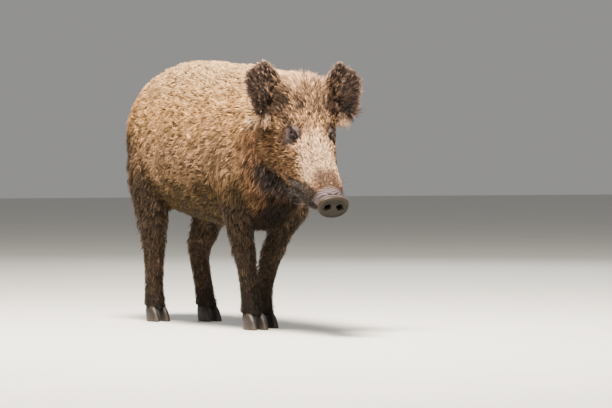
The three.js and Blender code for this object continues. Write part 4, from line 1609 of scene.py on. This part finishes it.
class Finish:
    """A node material under construction."""

    def __init__(self, name: str, roughness: float) -> None:
        """Starts a material with one plain shader.

        Args:
            name: the material's name.
            roughness: of the whole surface, unless a node gives it.
        """
        self.material = bpy.data.materials.new(name)
        self.material.use_nodes = True
        self.tree = self.material.node_tree
        self.shader = self.tree.nodes["Principled BSDF"]
        self.shader.inputs["Roughness"].default_value = roughness

    def node(self, kind: str, output: str | int = 0, settings: dict | None = None,
             *ordered: object, **values: object) -> Term:
        """Any shader node, as added() gives it, with a type that leaves out its first word."""
        return added(self.tree, f"ShaderNode{kind}", output, settings, *ordered, **values)

    def attribute(self, name: str, output: str = "Fac") -> Term:
        """A value stored at the mesh's points."""
        return self.node("Attribute", output, {"attribute_name": name})

    def place(self) -> Term:
        """The place on the object, in metres."""
        return self.node("TexCoord", "Object")

    def grain(self, size: float, detail: float = 3.0,
              stretch: Triple = (1, 1, 1)) -> Term:
        """Noise with features of a size in metres."""
        spread = self.node("VectorMath", 0, {"operation": "MULTIPLY"}, self.place(), stretch)
        return self.node("TexNoise", "Fac", Vector=spread, Scale=1.0 / size, Detail=detail)

    def cells(self, size: float) -> Term:
        """Distance to the nearest of scattered points, about a size in metres apart."""
        return self.node("TexVoronoi", "Distance", Vector=self.place(), Scale=1.0 / size)

    def mixed(self, first: object, second: object, share: object, way: str = "MIX") -> Term:
        """Two colours mixed by a share."""
        settings = {"data_type": "RGBA", "blend_type": way}
        return self.node("Mix", 2, settings, share, *[None] * 5, first, second)

    def toned(self, tint: object, level: Term) -> Term:
        """A colour made lighter or darker by a level."""
        return self.mixed(tint, self.grey(level), 1.0, "MULTIPLY")

    def grey(self, level: Term) -> Term:
        """A grey of a level."""
        return self.node("CombineColor", 0, Red=level, Green=level, Blue=level)

    def bump(self, height: Term, distance: float, strength: float) -> None:
        """Gives the surface fine relief."""
        relief = self.node("Bump", Height=height, Distance=distance, Strength=strength)
        plug(self.tree, self.shader.inputs["Normal"], relief)

    def set(self, **values: object) -> None:
        """Gives the shader's inputs their values, by name with underscores for blanks."""
        for name, value in values.items():
            plug(self.tree, self.shader.inputs[name.replace("_", " ")], value)


@dataclass(frozen=True)
class CoatFinish:
    """Dry, slightly shiny hair: dark at the root, partly its own colour and partly painted shade between the
    tufts, and bleached at the tip.
    """

    tip: float = 1.12
    roughness: float = 0.62

    def make(self) -> bpy.types.Material:
        """The material."""
        finish = Finish("hair", self.roughness)
        strand = finish.attribute("strand")
        # Dark at the root: the hair's own base with painted shade between the tufts.
        root = finish.attribute("root")
        light = root + (self.tip - root) * strand.ramped(0.10, 0.90)
        fibre = finish.grain(1.6 * MM, 2.0)
        finish.set(Base_Color=finish.toned(finish.attribute("tint", "Color"), light))
        finish.set(Roughness=fibre.ramped(0.3, 0.7, self.roughness - 0.08, self.roughness + 0.12))
        finish.set(Specular_IOR_Level=0.12)
        return finish.material


@dataclass(frozen=True)
class SkinFinish:
    """Leathery skin: under-coat where hair grows, bare round the eyes and at the snout."""

    roughness: float = 0.62

    def make(self) -> bpy.types.Material:
        """The material."""
        finish = Finish("skin", self.roughness)
        mottle = finish.grain(9 * MM, 4.0).ramped(0.3, 0.7, 0.86, 1.10)
        finish.set(Base_Color=finish.toned(finish.attribute("tint", "Color"), mottle))
        moist = finish.attribute("moist")
        finish.set(Roughness=self.roughness - 0.26 * moist + 0.12 * finish.grain(4 * MM))
        creases = finish.cells(2.4 * MM).ramped(0.0, 0.5) + 0.6 * finish.grain(1.1 * MM, 3.0)
        finish.bump(creases, 0.5 * MM, 0.7)
        finish.set(Subsurface_Weight=0.05, Subsurface_Scale=4 * MM, Specular_IOR_Level=0.18)
        return finish.material


@dataclass(frozen=True)
class EyeFinish:
    """A dark, wet eye with a red-brown iris."""

    white: Shade = (60, 42, 36)
    iris: Shade = (52, 24, 15)
    rim: Shade = (22, 12, 9)
    pupil: Shade = (5, 4, 4)

    def make(self) -> bpy.types.Material:
        """The material."""
        finish = Finish("eye", 0.06)
        away = finish.attribute("away")
        rays = finish.grain(0.9 * MM, 3.0)
        iris = finish.mixed(colour(*self.rim), colour(*self.iris), rays.ramped(0.25, 0.7, 0.35, 1.0))
        centre = finish.mixed(colour(*self.pupil), iris, away.ramped(0.30, 0.37))
        edge = finish.mixed(centre, colour(*self.rim), away.ramped(0.52, 0.64))
        finish.set(Base_Color=finish.mixed(edge, colour(*self.white), away.ramped(0.68, 0.80)))
        finish.set(Roughness=finish.grain(5 * MM).ramped(0.3, 0.7, 0.04, 0.09))
        finish.set(Coat_Weight=0.25, Coat_Roughness=0.02, Specular_IOR_Level=0.18)
        return finish.material


@dataclass(frozen=True)
class HornFinish:
    """The dark, scuffed horn of hooves and dewclaws."""

    dark: Shade = (33, 27, 24)
    worn: Shade = (72, 61, 51)

    def make(self) -> bpy.types.Material:
        """The material."""
        finish = Finish("horn", 0.5)
        layers = finish.grain(2.2 * MM, 4.0, (0.35, 0.35, 3.0))
        low = finish.node("SeparateXYZ", "Z", Vector=finish.place()).ramped(0.022, 0.0)
        wear = layers.ramped(0.45, 0.75) * 0.35 + low * 0.45
        finish.set(Base_Color=finish.mixed(colour(*self.dark), colour(*self.worn), wear))
        finish.set(Roughness=layers.ramped(0.3, 0.7, 0.38, 0.62))
        finish.bump(layers + 0.5 * finish.grain(0.8 * MM), 0.6 * MM, 0.8)
        return finish.material


@dataclass(frozen=True)
class BristleFinish:
    """Stiff single hairs: whiskers, lashes and the hairs of the chin."""

    name: str
    shade: Shade

    def make(self) -> bpy.types.Material:
        """The material."""
        finish = Finish(self.name, 0.45)
        patchy = finish.grain(12 * MM).ramped(0.3, 0.7, 0.7, 1.25)
        finish.set(Base_Color=finish.toned(colour(*self.shade), patchy))
        return finish.material


# ------------------------------------------------------------------ eyes, hooves and bristles


@dataclass
class Eyeball:
    """One eyeball with its bulging cornea."""

    place: EyePlace
    bulge: float = 0.7 * MM
    turns: int = 64
    steps: int = 44

    def build(self, finish: bpy.types.Material) -> bpy.types.Object:
        """The eyeball, with the angle from its gaze stored at each point."""
        turn = circle(self.turns)
        rings = []
        angles = np.linspace(0.03, math.pi - 0.05, self.steps)
        for angle in angles:
            radius = self.place.radius + self.bulge * float(ease(0.75, 0.15, np.array(angle)))
            rings.append(self.place.on_ball(np.full_like(turn, radius), np.full_like(turn, angle), turn))
        points, triangles = loft(np.array(rings))
        away = np.concatenate([np.repeat(angles, self.turns), [0.0, math.pi]])
        if self.place.side > 0:
            triangles = triangles[:, ::-1]
        name = "left" if self.place.side > 0 else "right"
        return formed(f"eyeball_{name}", f"eye_{name}", (points, triangles), finish, away=away)


@dataclass
class Hoof:
    """One toe of horn: flat below, ridged round, steep in front, with its top inside the leg."""

    node: str
    side: float
    height: float = 40 * MM
    front: float = 40 * MM
    back: float = 24 * MM
    half: float = 16.5 * MM
    slope: float = 15 * MM
    around: int = 40

    def build(self, finish: bpy.types.Material) -> bpy.types.Object:
        """The hoof in the place of its node."""
        low, high = (np.array(corner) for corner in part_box(self.node))
        middle = (low[1] + high[1]) / 2.0 - 0.125 * self.half * self.side
        origin = np.array([high[0] - self.front, middle, 0.0])
        levels = ((0.0, 0.93), (1.0, 0.965), (3.0, 1.0), (7.0, 0.998), (11.0, 0.982), (13.0, 0.992),
                  (18.0, 0.962), (20.0, 0.972), (25.0, 0.938), (27.0, 0.948), (32.0, 0.905), (36.0, 0.86),
                  (40.0, 0.80), (49.0, 0.66))
        turn = circle(self.around)
        sine, cosine = np.sin(turn), np.cos(turn)
        reach = np.where(cosine > 0, self.front, self.back)
        inner = np.where(sine * self.side < 0, 0.75, 1.0)
        rings = []
        for height, scale in levels:
            lean = self.slope * height * MM / self.height
            x = reach * boxy(cosine) * scale - lean
            y = self.half * inner * boxy(sine) * scale
            rings.append(np.column_stack([x, y, np.full(self.around, height * MM)]) + origin)
        points, triangles = loft(np.array(rings))
        return formed(self.node.replace("hoof", "toe"), self.node, (points, triangles[:, ::-1]), finish)


@dataclass
class Dewclaw:
    """One of the two small claws behind and above the hooves."""

    node: str
    radius: float = 9 * MM
    length: float = 30 * MM
    lean: float = math.radians(30.0)

    def build(self, finish: bpy.types.Material) -> bpy.types.Object:
        """The claw in the place of its node, with its top inside the leg."""
        low, high = (np.array(corner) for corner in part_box(self.node))
        down = np.array([-math.sin(self.lean), 0.0, -math.cos(self.lean)])
        tip = np.array([low[0] + 2.5 * MM, (low[1] + high[1]) / 2.0, low[2] + 1.0 * MM])
        start = tip - down * (self.length + 4 * MM)
        forth = np.array([math.cos(self.lean), 0.0, -math.sin(self.lean)])
        rings = []
        turn = circle(24)
        for share, scale in ((0.0, 0.9), (0.25, 1.0), (0.45, 1.0), (0.5, 0.96), (0.7, 0.88), (0.86, 0.68),
                             (0.95, 0.46), (1.0, 0.2)):
            centre = start + (tip - start) * share
            spin = np.cos(turn)[:, None] * forth + np.sin(turn)[:, None] * np.array([0.0, 0.85, 0.0])
            rings.append(centre + spin * self.radius * scale)
        points, triangles = loft(np.array(rings))
        centre = points.mean(axis=0)
        corners = points[triangles] - centre
        volume = np.einsum("ij,ij->i", corners[:, 0], np.cross(corners[:, 1], corners[:, 2])).sum()
        triangles = triangles if volume > 0 else triangles[:, ::-1]
        return formed(self.node.replace("dewclaw", "claw"), self.node, (points, triangles), finish)


@dataclass
class BristleField:
    """Single stiff hairs on carrier points, made by Geometry Nodes.

    Their thickness and their droop are shares of their length.
    """

    name: str
    points: Array
    ways: Array
    lengths: Array
    thick: float = 0.009
    droop: float = 0.3
    seed: int = 5

    def tree(self, finish: bpy.types.Material) -> bpy.types.NodeTree:
        """The node tree: a curved, tapering hair on each carrier point, realized as mesh."""
        tree = bpy.data.node_groups.new(f"{self.name}_nodes", "GeometryNodeTree")
        sockets = {"Carrier": "Geometry", "Thickness": "Float", "Droop": "Float", "Seed": "Int"}
        for label, kind in sockets.items():
            tree.interface.new_socket(label, in_out="INPUT", socket_type=f"NodeSocket{kind}")
        tree.interface.new_socket("Hairs", in_out="OUTPUT", socket_type="NodeSocketGeometry")
        start = tree.nodes.new("NodeGroupInput")
        carrier, thick, droop, seed = (Term(tree, start.outputs[label]) for label in sockets)
        bend = added(tree, "ShaderNodeCombineXYZ", X=droop, Z=1.0)
        arc = added(tree, "GeometryNodeCurveQuadraticBezier", Resolution=5, Start=(0.0, 0.0, 0.0),
                    Middle=(0.0, 0.0, 0.5), End=bend)
        along = added(tree, "GeometryNodeSplineParameter", "Factor")
        taper = added(tree, "ShaderNodeMapRange", 0, None, along, 0.0, 1.0, 1.0, 0.12)
        ring = added(tree, "GeometryNodeCurvePrimitiveCircle", Resolution=4, Radius=thick)
        arc = added(tree, "GeometryNodeSetCurveRadius", Curve=arc, Radius=taper)
        hair = added(tree, "GeometryNodeCurveToMesh", 0, None, arc, ring, taper, True)
        turn = added(tree, "FunctionNodeAlignRotationToVector", 0, {"axis": "Z"},
                     Vector=self.named(tree, "way", "FLOAT_VECTOR"))
        varied = added(tree, "FunctionNodeRandomValue", 1, None, None, None, 0.75, 1.2, Seed=seed)
        size = self.named(tree, "length", "FLOAT") * varied
        hairs = added(tree, "GeometryNodeInstanceOnPoints", Points=carrier, Instance=hair, Rotation=turn,
                      Scale=size)
        real = added(tree, "GeometryNodeRealizeInstances", 0, None, hairs)
        dressed = added(tree, "GeometryNodeSetMaterial", Geometry=real, Material=finish)
        plug(tree, tree.nodes.new("NodeGroupOutput").inputs["Hairs"], dressed)
        return tree

    def named(self, tree: bpy.types.NodeTree, name: str, kind: str) -> Term:
        """A named attribute of the carrier."""
        node = added(tree, "GeometryNodeInputNamedAttribute", 0, {"data_type": kind}, Name=name).socket.node
        return Term(tree, next(out for out in node.outputs if out.enabled and out.name == "Attribute"))

    def build(self, finish: bpy.types.Material) -> bpy.types.Object:
        """The hairs as one plain mesh."""
        carrier = bpy.data.meshes.new(self.name)
        carrier.from_pydata(self.points.tolist(), [], [])
        noted(carrier, "way", "FLOAT_VECTOR", self.ways)
        noted(carrier, "length", "FLOAT", self.lengths)
        holder = placed(self.name, carrier)
        grow = holder.modifiers.new("grow", "NODES")
        grow.node_group = self.tree(finish)
        inputs = {item.name: item.identifier for item in grow.node_group.interface.items_tree
                  if item.in_out == "INPUT"}
        for label, value in (("Thickness", self.thick), ("Droop", self.droop), ("Seed", self.seed)):
            grow[inputs[label]] = value
        mesh = evaluated(holder)
        mesh.polygons.foreach_set("use_smooth", np.ones(len(mesh.polygons), bool))
        return placed(self.name, mesh)


# ------------------------------------------------------------------ the whole animal and its studio


@dataclass
class Boar:
    """The wild boar: skin, coat, eyes, hooves, dewclaws and bristles."""

    hide: Hide = field(default_factory=Hide)
    markings: MarkingsAndShade = field(default_factory=MarkingsAndShade)
    coat: Coat = field(default_factory=Coat)
    disc: SnoutDisc = field(default_factory=SnoutDisc)
    lip_hairs: int = 150
    chin_hairs: int = 170
    lashes: int = 70

    def ride(self, piece: bpy.types.Object, slot: str) -> None:
        """Fixes a piece to the body and logs how many points it has."""
        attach(piece, BODY)
        LOG.info("%s: %d points", piece.name, len(piece.data.vertices))

    def skin_piece(self, skin: Surface, shares: Array, outward: Array) -> bpy.types.Object:
        """The skin object, with its lids and snout disc joined in."""
        finish = SkinFinish().make()
        tint = self.markings.at(skin.points, shares, outward)
        along = HEAD.local(skin.points)[:, 0]
        bald = ease(0.205, 0.235, along)
        for eye in EYES:
            bald = np.maximum(bald, ease(40 * MM, 26 * MM, eye.distance(skin.points)))
        tint = tint * (0.42 + 0.58 * bald)[:, None]
        whole = Patchwork()
        whole.add(skin.points, skin.faces, tint=tint, moist=0.4 * ease(0.225, 0.245, along))
        for eye in EYES:
            points, triangles = self.hide.lids(eye)
            shade = np.tile(self.markings.palette.light("lid"), (len(points), 1))
            whole.add(points, triangles, tint=shade, moist=np.full(len(points), 0.7))
        points, triangles = self.disc.shell()
        whole.add(points, triangles, tint=self.disc_tint(points), moist=np.full(len(points), 0.75))
        piece = whole.make("skin", finish)
        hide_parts(*FLESH, "snout_disc")
        return piece

    def disc_tint(self, points: Array) -> Array:
        """The colours of the snout disc: a dark face darkened further with painted shade, a paler rim, and
        nostrils darkened with painted shade by their depth.
        """
        paint = self.markings.palette
        measures = HEAD.local(points)
        ahead = (measures[:, 0] - self.disc.back) / MM + measures[:, 2] / MM * math.tan(self.disc.tilt)
        reach = np.hypot(measures[:, 1] / self.disc.half, measures[:, 2] / self.disc.rise)
        face = ease(24.0, 26.0, ahead) * ease(1.0, 0.93, reach)
        hollow = self.disc.hollows(measures[:, 1], measures[:, 2] / math.cos(self.disc.tilt))
        # Painted shade, darker where the nostrils are deeper.
        depth_shade = ease(2 * MM, 8 * MM, hollow) * ease(0.9, 0.8, reach)
        shade = np.tile(paint.light("bare"), (len(points), 1))
        # The disc's face takes painted shade over its own dark skin; the nostrils take painted shade by
        # depth.
        return paint.washed(shade, ("disc_rim", ease(8, 18, ahead)),
                            ("disc", np.maximum(face, ease(0.90, 0.86, reach))), ("nostril_shade", depth_shade))

    def whiskers(self, roots: Roots, rng: np.random.Generator) -> BristleField:
        """The single hairs of the lips and the chin."""
        measures = HEAD.local(roots.points)
        along, mouth = measures[:, 0], MOUTH.offset(measures)
        lip = (along > 0.12) & (along < 0.235) & (mouth > -0.03) & (mouth < 0.022)
        chin = (along > 0.02) & (along < 0.20) & (mouth < -0.03)
        chosen = np.concatenate([rng.choice(np.flatnonzero(lip), self.lip_hairs, replace=False),
                                 rng.choice(np.flatnonzero(chin), self.chin_hairs, replace=False)])
        ways = roots.outward[chosen] * 0.8 + roots.lie[chosen] * 0.9
        ways = unit(ways + rng.normal(0.0, 0.16, (len(chosen), 3)))
        lengths = rng.uniform(22, 44, len(chosen)) * MM
        return BristleField("whiskers", roots.points[chosen], ways, lengths)

    def eyelashes(self, rng: np.random.Generator) -> BristleField:
        """The lashes of both upper lids."""
        places, ways = [], []
        for eye in EYES:
            turn = rng.uniform(0.25, math.pi - 0.35, self.lashes)
            reach = np.full(self.lashes, eye.radius + 2.0 * MM)
            places.append(eye.on_ball(reach, eye.slit(turn) + math.radians(9), turn))
            stray = rng.normal(0.0, 0.12, (self.lashes, 3))
            ways.append(unit(eye.gaze() * 0.9 + eye.spin(turn) * 0.8 + stray))
        lengths = rng.uniform(8, 14, self.lashes * len(EYES)) * MM
        return BristleField("lashes", np.concatenate(places), np.concatenate(ways), lengths, 0.022, 0.35)

    def build(self) -> None:
        """Makes every piece of the animal."""
        skin = self.hide.surface()
        shares = NEAR.weights(skin, 3)
        outward = unit(skin.smoothed(skin.normals(), 2))
        self.ride(self.skin_piece(skin, shares, outward), "coat")
        roots = Lie(skin, shares, outward).roots(self.coat.total, self.markings)
        hair = CoatFinish().make()
        slots = {"face": "face", "jaw": "face", "ears": "ears", "foreleg": "legs", "hindleg": "legs"}
        for piece in self.coat.build(roots, hair):
            self.ride(piece, slots.get(piece.name.split("_")[1], "coat"))
        rng = np.random.default_rng(23)
        whisker, lash = BristleFinish("whisker", (44, 35, 29)), BristleFinish("lash", (38, 30, 26))
        self.ride(self.whiskers(roots, rng).build(whisker.make()), "face")
        self.ride(self.eyelashes(rng).build(lash.make()), "face")
        wet = EyeFinish().make()
        for eye in EYES:
            self.ride(Eyeball(eye).build(wet), "eyes")
        horn = HornFinish().make()
        for leg in LEGS:
            outer = 1.0 if leg.endswith("left") else -1.0
            for label, side in (("outer", outer), ("inner", -outer)):
                self.ride(Hoof(f"hoof_{leg}_{label}", side).build(horn), "hooves")
                self.ride(Dewclaw(f"dewclaw_{leg}_{label}").build(horn), "hooves")


@dataclass
class Studio:
    """A pale floor, soft light from above and the camera."""

    eye: Triple = (7.982, -4.3215, 0.5)
    heading: float = math.radians(62.0 - 1.63)
    dip: float = math.radians(0.80)
    lens: float = 176.3
    floor_half: float = 30.0
    aim: Triple = (0.0, 0.0, 0.45)
    background: Triple = (0.90, 0.89, 0.87)
    background_strength: float = 0.34

    def floor(self) -> None:
        """A wide, flat, pale floor."""
        finish = Finish("floor", 0.8)
        finish.set(Base_Color=finish.mixed(colour(214, 212, 206), colour(204, 202, 196), finish.grain(0.4)))
        half = self.floor_half
        corners = [(-half, -half, 0.0), (half, -half, 0.0), (half, half, 0.0), (-half, half, 0.0)]
        mesh = bpy.data.meshes.new("floor")
        mesh.from_pydata(corners, [], [(0, 1, 2, 3)])
        mesh.materials.append(finish.material)
        floor = placed("floor", mesh)

    def lamp(self, name: str, place: Triple, size: float, power: float,
             warmth: Triple) -> None:
        """A square soft light that points at the animal."""
        data = bpy.data.lights.new(name, "AREA")
        data.shape = "SQUARE"
        data.size = size
        data.energy = power
        data.color = warmth
        lamp = placed(name, data)
        lamp.location = place
        lamp.rotation_euler = (Vector(self.aim) - Vector(place)).to_track_quat("-Z", "Y").to_euler()

    def build(self) -> None:
        """Sets up floor, light, background and camera."""
        self.floor()
        self.lamp("overhead", (0.9, -0.9, 4.2), 1.3, 1280.0, (1.0, 0.91, 0.79))
        self.lamp("front", (5.0, -3.0, 3.6), 1.6, 130.0, (1.0, 0.95, 0.88))
        self.lamp("back", (-4.0, 3.5, 3.0), 3.0, 110.0, (0.97, 0.98, 1.0))
        world = bpy.data.worlds.new("studio")
        world.use_nodes = True
        light = world.node_tree.nodes["Background"].inputs
        light["Color"].default_value = (*self.background, 1.0)
        light["Strength"].default_value = self.background_strength
        bpy.context.scene.world = world
        data = bpy.data.cameras.new("camera")
        data.lens = self.lens
        camera = placed("camera", data)
        camera.location = self.eye
        camera.rotation_euler = (math.pi / 2.0 - self.dip, 0.0, self.heading)
        bpy.context.scene.camera = camera


def main() -> None:
    """Builds the animal and its studio."""
    logging.basicConfig(level=logging.INFO, format="%(message)s")
    Boar().build()
    Studio().build()


if __name__ == "__main__":
    main()
